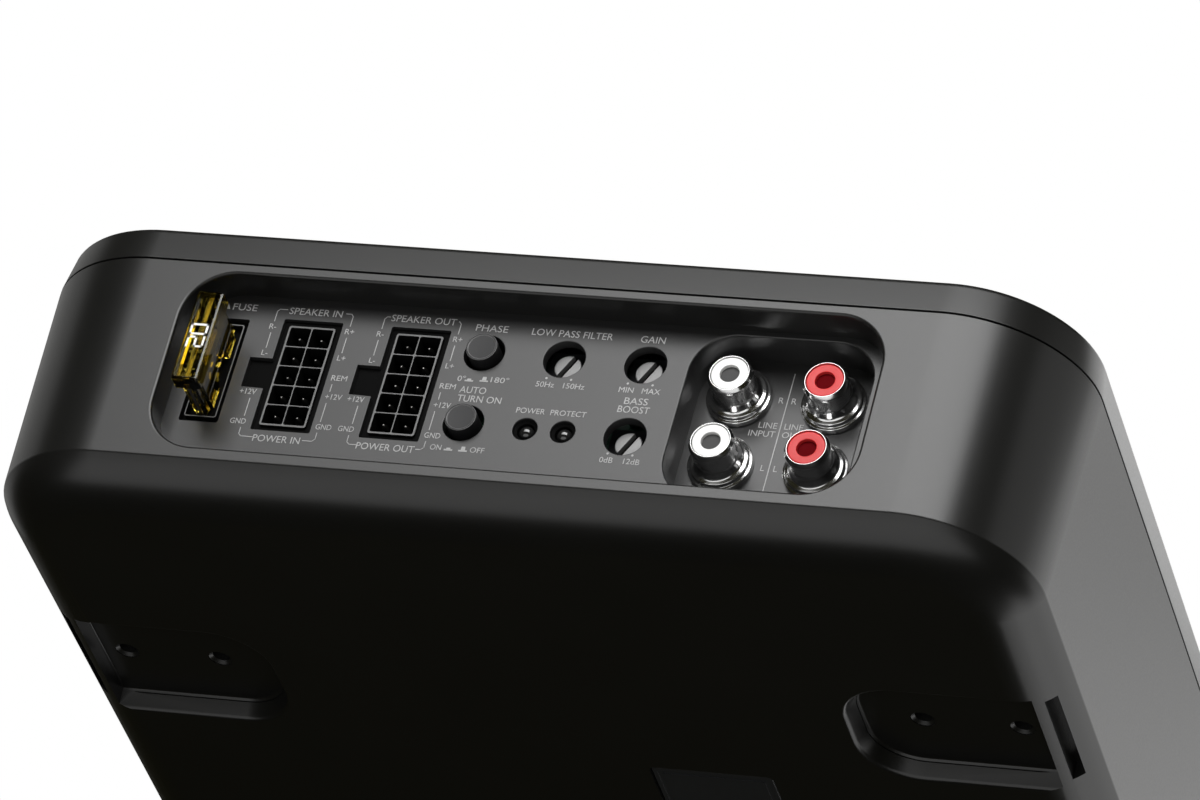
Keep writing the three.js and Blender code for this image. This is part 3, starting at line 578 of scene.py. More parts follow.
def build_cover():
    low = SPLIT + COVER_GAP
    fillet = 1.2
    lip = low - SEAM_LIP
    levels = [(low, 0.7), (lip, 0.6), (lip, 0.15), (lip + 0.04, 0.04), (lip + 0.15, 0.0)]
    for step in range(7):
        angle = math.pi / 2 * step / 6
        levels.append((
            TOP - fillet + fillet * math.sin(angle), COVER_LEAN + fillet - fillet * math.cos(angle),
        ))
    made = case_skin("cover_shell", levels)
    inner = case_skin("cover_hollow", [(low - 1, WALL), (TOP - WALL, WALL + COVER_LEAN)])
    carve(made, inner)
    grille_low, grille_high = node_box("speaker_grille")
    at = centre("speaker_grille")
    place = (at.x, at.y, 0)
    outer = (grille_high.x - grille_low.x) / 2 + GAP
    fuse_with(made, turned("ring", disc(outer + 2.3, low + 0.1, TOP - 1), place, "z", 128))
    edge, bed = 0.6, grille_low.z - 1.95
    rebate = [(0, bed), (outer, bed), (outer, TOP - edge)]
    for step in range(1, 5):
        angle = math.pi / 2 * step / 4
        rebate.append((outer + edge * (1 - math.cos(angle)), TOP - edge + edge * math.sin(angle)))
    rebate += [(outer + edge, TOP + 1), (0, TOP + 1)]
    mouth = turned("mouth", disc(WOOFER_MOUTH, 0, TOP + 1), place, "z", 96)
    carve(made, turned("rebate", rebate, place, "z", 128), mouth)
    finish_piece(made, "case_paint", ["top_cover"], angle=30)


# ---- control panel
HEADERS = ["power_in", "power_out"]
HEADER = {"half_x": 5.4, "half_z": 11.7, "pitch": 4.2, "cell": 3.75, "tab": 4.3}
TAB = {"rise": 0.15, "half": 2.9, "slope": 0.3}
BUTTONS = {"phase_button": "phase_key", "auto_button": "auto_key"}
TRIMMERS = {
    "low_pass_shaft": "low_pass_dial", "gain_shaft": "gain_dial", "boost_shaft": "boost_dial",
}
LIGHTS = ["power_light", "protect_light"]
JACKS = ["line_in_right", "line_in_left", "line_out_right", "line_out_left"]
HOLE_RADII = {"button": 3.75, "shaft": 3.85, "light": 2.25}
JACK_HOLE = 4.45
GROOVE_ANGLE = 27.5                    # how far the trimmers stand turned at rest, in degrees


def build_panel():
    back = PANEL + PANEL_THICK
    outer = rounded_rectangle(
        RECESS["left"] - COLLAR + 0.1, RECESS["right"] + COLLAR - 0.1,
        RECESS["bottom"] - COLLAR + 0.1, SPLIT - 0.4, RECESS["radius"] + COLLAR,
    )
    made = prism_y("panel_plate", outer, PANEL, back)
    floor = PANEL + POCKET_DEPTH
    cup = prism_y("cup", grown(POCKET, 1.5), PANEL + 0.6, floor + 1.6)
    fuse_with(made, cup)
    cuts = []
    rings = mouth_rings(lambda grow: grown(POCKET, grow, 16), PANEL, POCKET_DEPTH, 0.35)
    cuts.append(skin("pocket_cut", rings))
    seat = frame_round(*node_box("fuse_holder"), GAP, 0.4, 3)
    cuts.append(prism_y("fuse_cut", seat, PANEL - 1, back + 1))
    for name in HEADERS:
        at = centre(name + "_pins")
        x, z = HEADER["half_x"] + GAP, HEADER["half_z"] + GAP
        cuts.append(prism_y("header_cut", rounded_rectangle(
            at.x - x, at.x + x, at.z - z, at.z + z, 0.35, 3,
        ), PANEL - 1, back + 1))
        end, reach = at.x - x - HEADER["tab"], TAB["half"] + GAP
        low, high = at.z + TAB["rise"] - reach, at.z + TAB["rise"] + reach
        tab = [(end, low), (at.x, low - TAB["slope"]), (at.x, high), (end, high)]
        cuts.append(prism_y("tab_cut", tab, PANEL - 1, back + 1))
    for node in [*BUTTONS, *TRIMMERS, *LIGHTS]:
        radius = HOLE_RADII[node.split("_")[-1]]
        cuts.append(round_cutter(centre(node), radius, PANEL, back + 1))
    for jack in JACKS:
        at = centre(jack + "_shell")
        cuts.append(round_cutter(at, JACK_HOLE, floor, floor + 3, 0.05))
    carve(made, *cuts)
    finish_piece(made, "panel_paint", ["control_panel"], angle=30)


# ---- legends
# Rises are measured up from the middle of the recess, and heights are of capital letters.
BIG, SMALL, POCKET_CAP = 1.42, 1.15, 1.25
INK_LIFT, INK_HALF = 0.03, 0.01

# Words: the piece they stand by, text, distance from its middle, rise, height, then the width if
# it isn't the typeface's own, and the end that the distance is to if it isn't the middle.
WORDS = [
    ("fuse_holder", "FUSE", 2.1, 15.6, BIG, 4.7),
    ("power_in_pins", "SPEAKER IN", -0.1, 15.55, BIG, 10.2),
    ("power_in_pins", "POWER IN", -0.15, -12.0, BIG, 9.0),
    ("power_out_pins", "SPEAKER OUT", -0.1, 15.55, BIG, 12.4),
    ("power_out_pins", "POWER OUT", -0.15, -12.0, BIG, 11.0),
    ("phase_button", "PHASE", 0.1, 14.8, BIG, 6.1),
    ("phase_button", "0°", -2.75, 3.75, SMALL, 1.5),
    ("phase_button", "180°", 4.3, 3.95, SMALL, 3.4),
    ("phase_button", "AUTO", -2.5, 1.45, BIG, 5.0, "LEFT"),
    ("phase_button", "TURN ON", -2.5, -0.4, BIG, 8.3, "LEFT"),
    ("phase_button", "ON", -3.7, -11.1, SMALL, 2.1),
    ("phase_button", "OFF", 4.1, -11.1, SMALL, 2.7),
    ("low_pass_shaft", "LOW PASS FILTER", 0.15, 14.8, BIG, 15.3),
    ("low_pass_shaft", "50Hz", -2.2, 3.8, SMALL),
    ("low_pass_shaft", "150Hz", 3.1, 3.8, SMALL),
    ("gain_shaft", "GAIN", 0.15, 14.8, BIG, 4.6),
    ("gain_shaft", "MIN", -2.2, 3.9, SMALL),
    ("gain_shaft", "MAX", 2.4, 3.9, SMALL),
    ("boost_shaft", "BASS", 0.2, 1.6, BIG, 4.4),
    ("boost_shaft", "BOOST", 0.15, -0.2, BIG, 5.9),
    ("boost_shaft", "0dB", -2.2, -11.05, SMALL),
    ("boost_shaft", "12dB", 2.4, -11.05, SMALL),
    ("power_light", "POWER", 0.1, -2.0, SMALL, 5.4),
    ("protect_light", "PROTECT", 0.1, -2.0, SMALL, 6.7),
]
# Terminal names by each connector: text, distance from its middle, rise and width.
TERMINALS = [
    ("R-", -7.55, 11.95, None), ("L-", -7.55, 6.2, None), ("+12V", -8.35, -2.3, 3.2),
    ("GND", -8.45, -8.7, 3.0), ("R+", 7.3, 11.95, None), ("L+", 7.3, 6.2, None),
    ("REM", 8.1, 1.87, 3.0), ("+12V", 8.1, -2.2, 3.2), ("GND", 8.0, -8.7, 3.0),
]
# Where the line that frames each connector runs: its two sides, and the upright strokes on each.
FRAME_SIDES = {-1: -7.55, 1: 7.1}
FRAME_STROKES = {-1: [(10.6, 7.4), (-3.7, -7.4)], 1: [(10.6, 7.4), (0.45, -0.95), (-3.6, -7.5)]}
FRAME_INNER = {"power_in": 5.7, "power_out": 6.6}
# Rise of the two dots at each dial, and the button pictures by the phase button's middle line.
DIAL_DOTS = {"low_pass_shaft": 5.2, "gain_shaft": 5.3, "boost_shaft": -9.65}
KEY_PICTURES = [(-1.3, 3.75, True), (1.5, 3.9, False), (-1.3, -11.1, True), (1.45, -11.1, False)]
# In the jack pocket: text, distance from the dividing line, rise and end.
POCKET_WORDS = [
    ("R", -1.25, 9.2, "CENTER"), ("R", 1.15, 9.2, "CENTER"), ("L", -1.25, -5.2, "CENTER"),
    ("L", 1.15, -5.2, "CENTER"), ("LINE", -0.6, 3.8, "RIGHT"), ("LINE", 0.6, 3.8, "LEFT"),
    ("INPUT", -0.6, 2.0, "RIGHT"), ("OUTPUT", 0.6, 2.0, "LEFT"),
]


def print_text(text, x, rise, cap, width=None, align="CENTER", depth=0.0):
    """Lettering as thin solid print on the panel, cap high, and width wide if given."""
    curve = bpy.data.curves.new("legend", "FONT")
    curve.body = text
    curve.align_x = align
    curve.align_y = "CENTER"
    curve.size = cap / 0.70
    curve.extrude = INK_HALF
    curve.resolution_u = 3
    made = add_object("legend", curve)
    mesh = evaluated_mesh(made)
    bpy.data.objects.remove(made)
    span = max(v.co.x for v in mesh.vertices) - min(v.co.x for v in mesh.vertices)
    stretch = Matrix.Diagonal((width / span if width else 1.0, 1, 1, 1))
    place = Matrix.Translation(Vector((x, PANEL + depth - INK_LIFT, RECESS_MIDDLE + rise)) * MM)
    upright = Matrix.Rotation(math.pi / 2, 4, "X")
    mesh.transform(place @ Matrix.Scale(MM, 4) @ upright @ stretch)
    return add_object("legend", mesh)


def print_shape(outline, depth=0.0):
    """A printed patch with an outline of (x, rise) points."""
    middle = PANEL + depth - INK_LIFT
    points = [(x, RECESS_MIDDLE + rise) for x, rise in outline]
    return prism_y("patch", points, middle - INK_HALF, middle + INK_HALF)


def print_line(points, width=0.16, depth=0.0):
    """A printed line through (x, rise) points, as a list of its strokes."""
    lines = []
    for first, second in zip(points, points[1:]):
        a, b = Vector(first), Vector(second)
        along = (b - a).normalized() * width / 2
        side = Vector((-along.y, along.x))
        a, b = a - along, b + along
        lines.append(print_shape([tuple(p) for p in (a + side, a - side, b - side, b + side)], depth))
    return lines


def print_dot(x, rise):
    at = (x, PANEL - INK_LIFT, RECESS_MIDDLE + rise)
    return turned("dot", disc(0.22, -INK_HALF, INK_HALF), at, segments=16)


def print_key(x, rise, pressed):
    """Small picture of a push button, out or in."""
    bars = [(0.8, -0.45, 0.8, -0.15), (0.42, -0.2, 0.336, 0.15 if pressed else 0.6)]
    return [
        print_shape([
            (x - foot, rise + low), (x + foot, rise + low),
            (x + head, rise + high), (x - head, rise + high),
        ])
        for foot, low, head, high in bars
    ]


def print_frame(header):
    """Terminal names and the broken line round one connector."""
    x = centre(header + "_pins").x
    inner = FRAME_INNER[header]
    parts = [print_text(text, x + away, rise, SMALL, width) for text, away, rise, width in TERMINALS]
    for side, away in FRAME_SIDES.items():
        edge = x + away
        parts += print_line([
            (x + side * inner, 15.8), (edge - side * 0.4, 15.8), (edge, 15.3), (edge, 13.2),
        ])
        parts += print_line([
            (x + side * (inner - 0.9), -11.8), (edge - side * 0.5, -11.8), (edge, -11.3),
            (edge, -10.0),
        ])
        for upper, lower in FRAME_STROKES[side]:
            parts += print_line([(edge, upper), (edge, lower)])
    return parts


def build_legends():
    parts = [
        print_text(text, centre(node).x + away, rise, cap, *rest)
        for node, text, away, rise, cap, *rest in WORDS
    ]
    for header in HEADERS:
        parts += print_frame(header)
    fuse_x = centre("fuse_holder").x
    parts.append(print_shape([(fuse_x - 1.7, 15.1), (fuse_x - 0.7, 15.1), (fuse_x - 1.2, 16.3)]))
    for away, rise, pressed in KEY_PICTURES:
        parts += print_key(centre("phase_button").x + away, rise, pressed)
    for node, rise in DIAL_DOTS.items():
        parts += [print_dot(centre(node).x - 2.25, rise), print_dot(centre(node).x + 2.4, rise)]
    divider = (centre("line_in_right_shell").x + centre("line_out_right_shell").x) / 2
    parts += print_line([(divider, 15.0), (divider, -16.0)], 0.18, POCKET_DEPTH)
    for text, away, rise, align in POCKET_WORDS:
        parts.append(print_text(
            text, divider + away, rise, POCKET_CAP, align=align, depth=POCKET_DEPTH,
        ))
    made = gather(parts[0], parts[1:])
    made.name = "printed_legends"
    paint(made, LEGEND_INK)
    finish_piece(made, "panel_paint")


# ---- fuse
def build_fuse():
    low, high = node_box("fuse_body")
    at = (low + high) / 2
    half_x, half_z = (high.x - low.x) / 2, (high.z - low.z) / 2
    front, back = low.y, high.y

    def level(grow_x, grow_z, y, radius=0.5):
        points = rounded_rectangle(
            at.x - half_x - grow_x, at.x + half_x + grow_x,
            at.z - half_z - grow_z, at.z + half_z + grow_z, radius, 4,
        )
        return [(x, y, z) for x, z in points]

    cap = 3.4
    made = skin("fuse_shell", [
        level(-0.45, -0.45, front), level(-0.15, -0.15, front + 0.12), level(0, 0, front + 0.45),
        level(0, 0, front + cap - 0.3), level(-0.25, -0.25, front + cap),
        level(-0.7, -1.5, front + cap + 0.5), level(-0.75, -1.6, back - 0.4),
        level(-1.0, -1.9, back),
    ])
    shoulders = [
        prism_y(
            "shoulder", rounded_rectangle(at.x - 1.3, at.x + 1.3, z - 1.4, z + 1.4, 0.5, 4),
            front + cap - 1, back - 0.8,
        )
        for z in (at.z - half_z + 1.6, at.z + half_z - 1.6)
    ]
    fuse_with(made, *shoulders)
    blade_low, blade_high = node_box("fuse_element")
    slim = (blade_high.x - blade_low.x) / 2 + 0.25
    hollow = block(
        "hollow", (at.x - slim, blade_low.y - 0.5, blade_low.z - 0.2),
        (at.x + slim, back + 1, blade_high.z + 0.2),
    )
    left, right = at.x - half_x + 0.5, at.x + half_x - 0.55
    bottom, top = at.z - half_z + 0.6, at.z + half_z - 0.5
    face = [(left, bottom), (right, bottom), (right, top), (left, top)]
    dish = skin("dish", [
        [(x, front - 1, z) for x, z in face],
        [(x, front + (1.3 if x == left else 0.25), z) for x, z in face],
    ])
    saddle = turned("saddle", disc(3.4, -4, 4), (0, 0, 0), "z", 40)
    saddle.data.transform(Matrix.Rotation(math.pi / 2, 4, "Y"))
    saddle.data.transform(Matrix.Translation(Vector((at.x, back + 0.2, at.z)) * MM))
    carve(made, hollow, saddle, dish)
    finish_piece(made, "amber_plastic", ["fuse_body"], "fuse", angle=25)

    strokes = []
    tall, wide = 1.5, 1.0
    middle = {"2": at.z - 1.45, "0": at.z + 1.25}
    shapes = {
        "2": [(-1, -1), (-1, 1), (0, 1), (0, -1), (1, -1), (1, 1)],
        "0": [(-1, -1), (-1, 1), (1, 1), (1, -1), (-1, -1)],
    }
    for digit, path in shapes.items():
        run = [(at.x + u * tall, middle[digit] - RECESS_MIDDLE + v * wide) for u, v in path]
        strokes += print_line(run, 0.42, front - PANEL)
    number = gather(strokes[0], strokes[1:])
    number.name = "fuse_number"
    finish_piece(number, "white_plastic", body="fuse", material=FUSE_INK)


# ---- headers
def paint_edge_highlights(made, front, flat=True):
    """Paints highlights: the front faces, or the slanting edges round them, get a lighter grey that
    stands in for the light they catch.
    """
    made.data.materials.append(PAINTED_EDGE_HIGHLIGHT)
    for face in made.data.polygons:
        if face.center.y < (front + 0.35) * MM:
            if face.normal.y < -0.95 if flat else -0.95 < face.normal.y < -0.3:
                face.material_index = 1


def build_header(name):
    """Socket with ten square cells: thin walls inside a sunken black border, and the pins behind."""
    at = centre(name + "_pins")
    half_x, half_z = HEADER["half_x"], HEADER["half_z"]
    front = PANEL + 0.2
    back = node_box(name + "_housing")[1].y

    def border(grow, radius=0.3):
        return rounded_rectangle(
            at.x - half_x - grow, at.x + half_x + grow, at.z - half_z - grow, at.z + half_z + grow,
            radius, 3,
        )

    made = prism_y(name + "_socket", border(0.26), front + 0.6, back)
    middle = at.z + TAB["rise"]
    tab = block(
        "tab", (at.x - half_x - HEADER["tab"] - 0.2, front + 0.8, middle - TAB["half"] - 0.2),
        (at.x - half_x + 0.4, front + 4.8, middle + TAB["half"] + 0.2),
    )
    walls = prism_y("walls", border(-0.95, 0.4), front, front + 3)
    fuse_with(made, tab, walls)
    cells, pins, tips = [], [], []
    half = HEADER["cell"] / 2
    for column in (-0.5, 0.5):
        for row in (-2, -1, 0, 1, 2):
            x, z = at.x + column * HEADER["pitch"], at.z + row * HEADER["pitch"]
            cells.append(skin("cell", [
                [(px, y, pz) for px, pz in square_round(x, z, half + grow, 0.3)]
                for y, grow in ((front - 1, 0.13), (front, 0.13), (front + 0.2, 0), (back + 1, 0))
            ]))
            pins.append(skin("pin", [
                [(px, y, pz) for px, pz in square_round(x, z, size, size * 0.35)]
                for y, size in (
                    (PANEL + 0.9, 0.16), (PANEL + 1.05, 0.24), (PANEL + 1.9, 0.5), (back + 0.6, 0.52),
                )
            ]))
            tips.append(turned("tip", [(0, 0), (0.1, 0.02), (0.15, 0.1), (0.15, 0.2), (0, 0.2)],
                               (x, PANEL + 0.86, z), segments=12))
    carve(made, *cells)
    paint(made, MATT_BLACK_AND_PAINTED_SHADE)
    # Painted highlight on the front faces of the cell walls and border.
    paint_edge_highlights(made, front)
    finish_piece(made, "black_plastic", [name + "_housing"])

    low, high = node_box(name + "_pins")
    wafer = block("wafer", (low.x, back + 0.05, low.z), (high.x, high.y, high.z))
    soften(wafer, 0.2)
    paint(wafer, MATERIALS["dark_plastic"])
    row_of_pins = gather(pins[0], pins[1:])
    # The pin bodies carry painted shade, and only their tips keep the tinned finish.
    paint(row_of_pins, PAINTED_SHADE_PIN)
    tip = gather(tips[0], tips[1:])
    paint(tip, MATERIALS["tinned_metal"])
    carrier = gather(wafer, [row_of_pins, tip])
    carrier.name = name + "_pin_block"
    finish_piece(carrier, "tinned_metal", [name + "_pins"])


def build_fuse_holder():
    low, high = node_box("fuse_holder")
    front, blade = PANEL + 0.15, 5.2
    body = node_box("fuse_body")
    made = prism_y("fuse_socket", frame_round(low, high, 0.24, 0.4, 4), front + 1.2, high.y)
    fuse_with(made, prism_y("rim", frame_round(*body, GAP + 0.28, 0.5, 4), front, front + 3))
    well = prism_y("well", frame_round(*body, GAP, 0.3, 4), front - 1, body[1].y + GAP)
    blade_low, blade_high = node_box("fuse_element")
    slots = []
    for end in (0, 1):
        z0 = blade_low.z - GAP if end == 0 else blade_high.z - blade - GAP
        slots.append(block(
            "blade_slot", (blade_low.x - GAP, low.y, z0),
            (blade_high.x + GAP, blade_high.y + GAP, z0 + blade + 2 * GAP),
        ))
    carve(made, well, *slots)
    soften(made, 0.08)
    paint(made, MATT_BLACK_AND_PAINTED_SHADE)
    # Painted highlight on the front face of the holder's rim.
    paint_edge_highlights(made, front)
    finish_piece(made, "black_plastic", ["fuse_holder"])


# ---- controls
def build_button(node, body):
    low, high = node_box(node)
    at = (low + high) / 2
    radius = (high.x - low.x) / 2 - 0.15
    skirt = high.y - 4.6
    profile = filleted([
        (0, low.y + 0.1, 0), (radius - 0.5, low.y + 0.1, 0.2), (radius - 0.35, low.y, 0.08),
        (radius - 0.05, low.y, 0.2), (radius, low.y + 0.5, 0.2), (radius, skirt, 0.3),
        (1.4, skirt, 0.1), (1.4, high.y, 0.2), (0, high.y, 0),
    ])
    made = turned(node.replace("button", "push_cap"), profile, (at.x, 0, at.z), segments=64)
    paint(made, BUTTON)
    # Painted highlight on the slanting rim of the cap.
    paint_edge_highlights(made, low.y, flat=False)
    finish_piece(made, "black_plastic", [node], body)


def build_trimmer(node, body):
    low, high = node_box(node)
    at = (low + high) / 2
    radius = (high.x - low.x) / 2
    head = high.y - 3.4
    profile = filleted([
        (0, low.y, 0), (radius, low.y, 0.25), (radius, head, 0.2), (1.8, head, 0.1),
        (1.8, high.y, 0.2), (0, high.y, 0),
    ])
    made = turned(node.replace("shaft", "screw"), profile, (at.x, 0, at.z), segments=48)
    groove = block("groove", (-0.55, low.y - 1, -4), (0.55, low.y + 1.2, 4))
    groove.data.transform(Matrix.Rotation(math.radians(GROOVE_ANGLE), 4, "Y"))
    groove.data.transform(Matrix.Translation(Vector((at.x, 0, at.z)) * MM))
    carve(made, groove)
    paint(made, TRIMMER_FACE)
    # Painted shade: the slot and the sides of the screw behind its face are painted black.
    made.data.materials.append(MATT_BLACK_AND_PAINTED_SHADE)
    for face in made.data.polygons:
        if face.center.y > (low.y + 0.3) * MM:
            face.material_index = 1
    finish_piece(made, "nickel_plate", [node], body, angle=30)


def build_light(node):
    low, high = node_box(node)
    at = (low + high) / 2
    dome, collar = 1.5, low.y + 4.0
    profile = [(0, low.y)]
    for step in range(1, 11):
        angle = math.pi / 2 * step / 10
        profile.append((dome * math.sin(angle), low.y + dome * (1 - math.cos(angle))))
    profile += filleted([
        (dome, collar, 0.1), (1.9, collar, 0.1), (1.9, collar + 1, 0.1), (0.9, collar + 1, 0.05),
        (0.9, high.y, 0.1), (0, high.y, 0),
    ])
    made = turned(node.replace("light", "lamp"), profile, (at.x, 0, at.z), segments=40)
    ring = turned("bezel", filleted([
        (1.62, low.y + 0.5, 0.1), (2.2, low.y + 0.15, 0.15), (2.2, low.y + 3, 0.1),
        (1.62, low.y + 3, 0.1),
    ]), (at.x, 0, at.z), segments=40)
    paint(made, MATERIALS["lamp_lens"])
    made = gather(made, [paint(ring, MATT_BLACK_AND_PAINTED_SHADE)])
    finish_piece(made, "lamp_lens", [node])


# ---- line jacks
def build_jack(name, red):
    low, high = node_box(name + "_shell")
    at = (low + high) / 2
    tip, floor = low.y, PANEL + POCKET_DEPTH
    shell = turned(name + "_sleeve", filleted([
        (3.5, tip + 0.25, 0.05), (3.55, tip, 0.03), (3.62, tip, 0.03), (4.15, tip + 0.75, 0.35),
        (4.15, tip + 1.3, 0.3),
        (3.85, tip + 1.7, 0.4), (3.85, floor - 3.6, 2.0), (4.55, floor - 2.35, 0.9),
        (5.35, floor - 2.0, 0.25), (5.45, floor - 1.35, 0.2), (5.95, floor - 1.15, 0.2),
        (6.0, floor - 0.1, 0.15), (4.0, floor - 0.06, 0.1), (4.0, high.y, 0.1), (3.52, high.y, 0.1),
    ], 5), (at.x, 0, at.z), segments=72)
    finish_piece(shell, "nickel_plate", [name + "_shell"], angle=32)
    lining = turned(name + "_lining", filleted([
        (1.8, tip + 0.2, 0.15), (3.4, tip + 0.16, 0.25), (3.45, high.y, 0.1), (0, high.y, 0),
        (0, tip + 3.2, 0), (1.8, tip + 3.2, 0.1),
    ], 5), (at.x, 0, at.z), segments=64)
    # Disc at the floor of the centre hole, painted as the insulator in shade.
    hole_shade_disc = turned("contact", disc(1.75, tip + 0.9, tip + 3.1), (at.x, 0, at.z), segments=40)
    paint(lining, MATERIALS["red_plastic" if red else "white_plastic"])
    paint(hole_shade_disc, PAINTED_SHADE_RED_HOLE if red else PAINTED_SHADE_WHITE_HOLE)
    lining = gather(lining, [hole_shade_disc])
    finish_piece(lining, "red_plastic" if red else "white_plastic", [name + "_insulator"])


# ---- grille
def build_grille():
    low, high = node_box("speaker_grille")
    at = (low + high) / 2
    radius = (high.x - low.x) / 2
    rim = radius - 3.4
    pitch, hole, sides, crown = 3.6, 1.25, 12, 0.6
    row_step = pitch * 0.866
    face = high.z - crown

    def dome(x, y):
        share = min(1.0, math.hypot(x, y) / rim)
        return face + crown * (1 - share * share) - 0.05

    points, faces = [], []
    rows = int(rim / row_step) + 1
    for row in range(-rows, rows + 1):
        for column in range(-rows - 2, rows + 3):
            cx, cy = (column + (row % 2) / 2) * pitch, row * row_step
            if math.hypot(cx, cy) > rim - 1.2:
                continue
            base = len(points)
            for k in range(sides):
                angle = math.tau * (k + 0.5) / sides
                corner = math.tau / 6
                reach = pitch / 2 / math.cos(angle - corner * round(angle / corner))
                for r in (reach, hole):
                    x, y = cx + r * math.cos(angle), cy + r * math.sin(angle)
                    points.append((at.x + x, at.y + y, dome(x, y)))
            for k in range(sides):
                j = (k + 1) % sides
                faces.append([base + 2 * k, base + 2 * j, base + 2 * j + 1, base + 2 * k + 1])
    made = mesh_object("perforated_grille", points, faces)
    work = bmesh.new()
    work.from_mesh(made.data)
    bmesh.ops.remove_doubles(work, verts=work.verts, dist=0.02 * MM)
    work.to_mesh(made.data)
    work.free()
    sheet = made.modifiers.new("sheet", "SOLIDIFY")
    sheet.thickness = 1.0 * MM
    sheet.offset = -1
    apply_modifiers(made)
    ring = turned("rim", filleted([
        (rim - 1.4, face + 0.05, 0.1), (rim - 0.6, face + 0.2, 0.4), (radius - 0.9, face + 0.2, 0.5),
        (radius, face - 0.8, 0.5), (radius, low.z, 0.2), (rim + 0.4, low.z, 0.2),
        (rim + 0.4, face - 1.2, 0.3), (rim - 1.4, face - 1.15, 0.1),
    ]), (at.x, at.y, 0), "z", 128)
    made = gather(made, [ring])
    finish_piece(made, "grille_steel", ["speaker_grille"])


def build_surround():
    """Half roll whose inner edge stands just outside the cone's rim, so the cone passes it."""
    low, high = node_box("woofer_surround")
    at = (low + high) / 2
    cone_low, cone_high = node_box("woofer_cone")
    radius = (high.x - low.x) / 2
    rubber, land = 0.8, 1.2
    inner, outer = (cone_high.x - cone_low.x) / 2 + 0.4, radius - land
    middle, reach = (inner + outer) / 2, (outer - inner) / 2
    rise = high.z - low.z - rubber
    arc = [math.pi * step / 16 for step in range(17)]
    under = [(middle - reach * math.cos(a), low.z + rise * math.sin(a)) for a in arc]
    over = [
        (middle - (reach - 0.25) * math.cos(a), low.z + rubber + rise * math.sin(a)) for a in arc
    ]
    profile = under + [(radius, low.z), (radius, low.z + rubber)] + over[::-1]
    made = turned("rubber_roll", profile, (at.x, at.y, 0), "z", 96)
    finish_piece(made, "rubber", ["woofer_surround"])


def build_label():
    low, high = node_box("label_plate")
    made = skin("label_face", [
        [(x, y, z) for x, y in frame_round(low, high, -inset, 1.0, 6, "y")]
        for z, inset in ((high.z, 0.0), (low.z + 0.15, 0.0), (low.z, 0.15))
    ])
    outer = frame_round(low, high, -0.9, 0.8, 6, "y")
    inner = frame_round(low, high, -1.9, 0.5, 6, "y")
    frame_cut = prism_z("frame_cut", outer, low.z - 1, low.z + 0.12)
    island = prism_z("island", inner, low.z - 2, low.z + 1)
    carve(frame_cut, island)
    carve(made, frame_cut)
    finish_piece(made, "dark_plastic", ["label_plate"])


# ---- carried-over nodes
def dress_carried_nodes():
    """The frame's own nodes that still show get the finish of their slot."""
    for row in frame["record"]["subparts"]:
        node = frame["nodes"].get(row["node"])
        if node is None:
            continue
        paint(node, MATERIALS[row["material_slot"]])


# ---- studio
# Softboxes: middle, width and height in metres, azimuth they stand at (0 is in front and 90 to the
# right of the object), tilt (90 lies flat and faces up), and brightness. The three in front
# overlap, so that the light on the front wall grows from left to right.
SOFTBOXES = {
    "front_wide": ((0.010, -0.54, 0.33), (0.63, 0.42), 0, 0, 3.2),
    "front_middle": ((0.070, -0.55, 0.31), (0.50, 0.38), 0, 0, 1.0),
    "front_right": ((0.100, -0.56, 0.31), (0.43, 0.36), 0, 0, 2.3),
    "front_low": ((0.0, -0.66, -0.42), (1.00, 0.84), 0, 80, 1.05),
    "right_rear": ((0.68, 0.84, 0.20), (1.60, 1.00), 147, 0, 1.2),
    "right_low": ((0.56, 0.88, -0.55), (0.75, 0.50), 150, 0, 1.3),
    "right_rear_high": ((0.50, 0.95, 1.05), (1.10, 0.60), 157, 0, 1.6),
    "left_side": ((-1.0, 0.30, 0.45), (1.1, 0.9), -107, 0, 0.42),
    "right_side": ((1.0, -0.05, 0.50), (0.9, 0.8), 92, 0, 0.55),
}


def softbox(name, middle, size, azimuth, tilt, brightness):
    data = bpy.data.lights.new(name, "AREA")
    data.shape = "RECTANGLE"
    data.size, data.size_y = size
    data.energy = brightness * math.pi * size[0] * size[1]
    made = add_object(name, data)
    upright = Matrix.Rotation(math.radians(90 + tilt), 4, "X")
    turn = Matrix.Rotation(math.radians(azimuth), 4, "Z") @ upright
    made.matrix_world = Matrix.Translation(middle) @ turn
    made.visible_camera = False


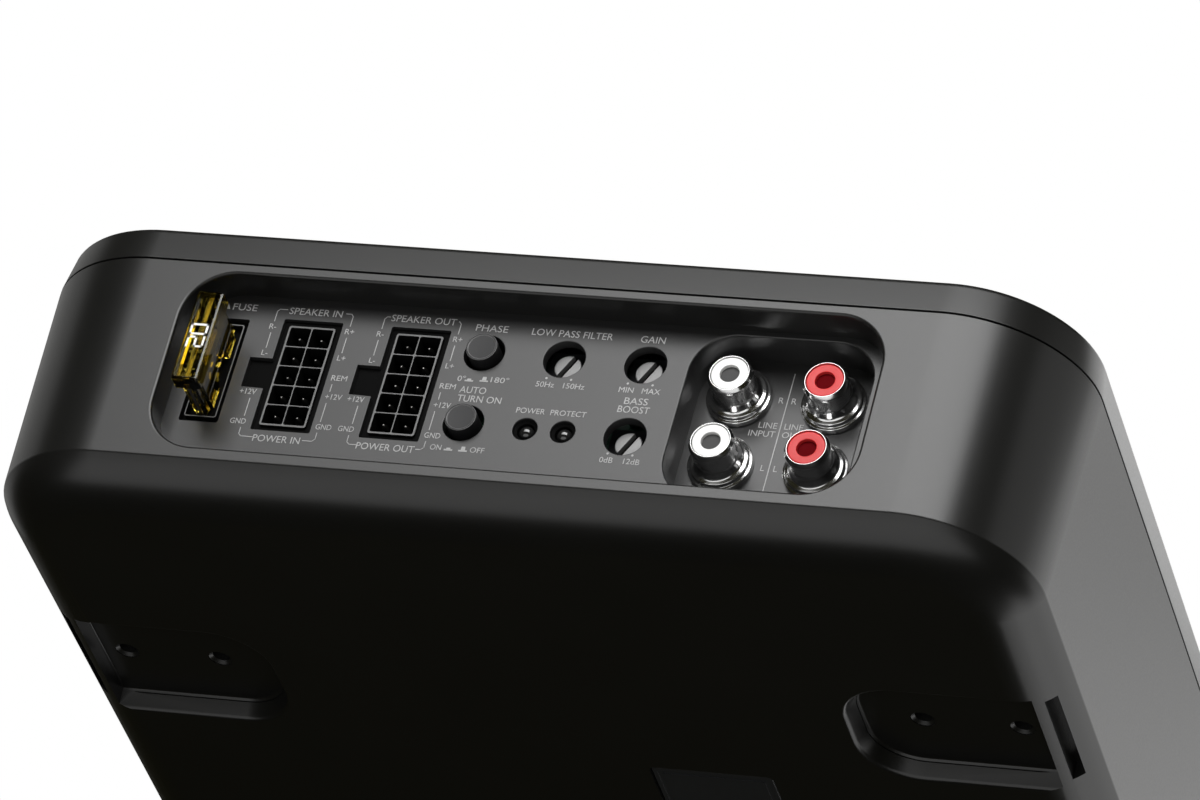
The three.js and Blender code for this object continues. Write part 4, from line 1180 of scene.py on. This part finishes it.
def build_studio():
    scene = bpy.context.scene
    scene.view_settings.view_transform = "Standard"
    world = bpy.data.worlds.new("studio")
    scene.world = world
    world.use_nodes = True
    nodes, links = world.node_tree.nodes, world.node_tree.links
    nodes.clear()
    path = nodes.new("ShaderNodeLightPath")
    seen = nodes.new("ShaderNodeBackground")
    set_sockets(seen, Color=(1, 1, 1, 1), Strength=1.0)
    around = nodes.new("ShaderNodeBackground")
    set_sockets(around, Color=(1, 0.88, 0.2, 1), Strength=0.012)
    choose = nodes.new("ShaderNodeMixShader")
    out = nodes.new("ShaderNodeOutputWorld")
    links.new(path.outputs["Is Camera Ray"], choose.inputs["Fac"])
    links.new(around.outputs["Background"], choose.inputs[1])
    links.new(seen.outputs["Background"], choose.inputs[2])
    links.new(choose.outputs["Shader"], out.inputs["Surface"])
    for name, settings in SOFTBOXES.items():
        softbox(name, *settings)

    half = 6.0
    floor = bpy.data.meshes.new("floor")
    corners = [(-half, -half), (half, -half), (half, half), (-half, half)]
    floor.from_pydata([(x, y, -0.0006) for x, y in corners], [], [[0, 1, 2, 3]])
    ground = add_object("floor", floor)
    material = bpy.data.materials.new("pale_floor")
    material.use_nodes = True
    nodes, links = material.node_tree.nodes, material.node_tree.links
    shader = nodes["Principled BSDF"]
    set_sockets(
        shader, Base_Color=(0.82, 0.82, 0.81, 1), Roughness=0.7, Emission_Color=(1, 1, 1, 1),
        Emission_Strength=0.4,
    )
    clear = nodes.new("ShaderNodeBsdfTransparent")
    side = nodes.new("ShaderNodeNewGeometry")
    mix = nodes.new("ShaderNodeMixShader")
    links.new(side.outputs["Backfacing"], mix.inputs["Fac"])
    links.new(shader.outputs["BSDF"], mix.inputs[1])
    links.new(clear.outputs["BSDF"], mix.inputs[2])
    links.new(mix.outputs["Shader"], nodes["Material Output"].inputs["Surface"])
    floor.materials.append(material)
    for flag in ("visible_diffuse", "visible_glossy", "visible_transmission", "visible_shadow"):
        setattr(ground, flag, False)


CAMERA = {
    "place": (0.49125, -1.2684, -0.7066), "azimuth": 22.69, "elevation": -30.77, "roll": 16.3,
    "lens": 244.1, "sensor": 36,
}


def build_camera():
    """Camera below and to the right of the panel, rolled a little, with a long lens."""
    data = bpy.data.cameras.new("camera")
    data.lens = CAMERA["lens"]
    data.sensor_width = CAMERA["sensor"]
    data.clip_start, data.clip_end = 0.05, 60
    made = add_object("camera", data)
    azimuth, elevation = math.radians(CAMERA["azimuth"]), math.radians(CAMERA["elevation"])
    turn = (
        Matrix.Rotation(azimuth, 4, "Z") @ Matrix.Rotation(math.pi / 2 - elevation, 4, "X")
        @ Matrix.Rotation(math.radians(CAMERA["roll"]), 4, "Z")
    )
    made.matrix_world = Matrix.Translation(CAMERA["place"]) @ turn
    bpy.context.scene.camera = made


build_camera()
build_studio()
dress_carried_nodes()
build_case()
build_cover()
build_panel()
build_legends()
build_fuse()
build_fuse_holder()
for header in HEADERS:
    build_header(header)
for node, body in BUTTONS.items():
    build_button(node, body)
for node, body in TRIMMERS.items():
    build_trimmer(node, body)
for light in LIGHTS:
    build_light(light)
for jack in JACKS:
    build_jack(jack, "out" in jack)
build_grille()
build_surround()
build_label()
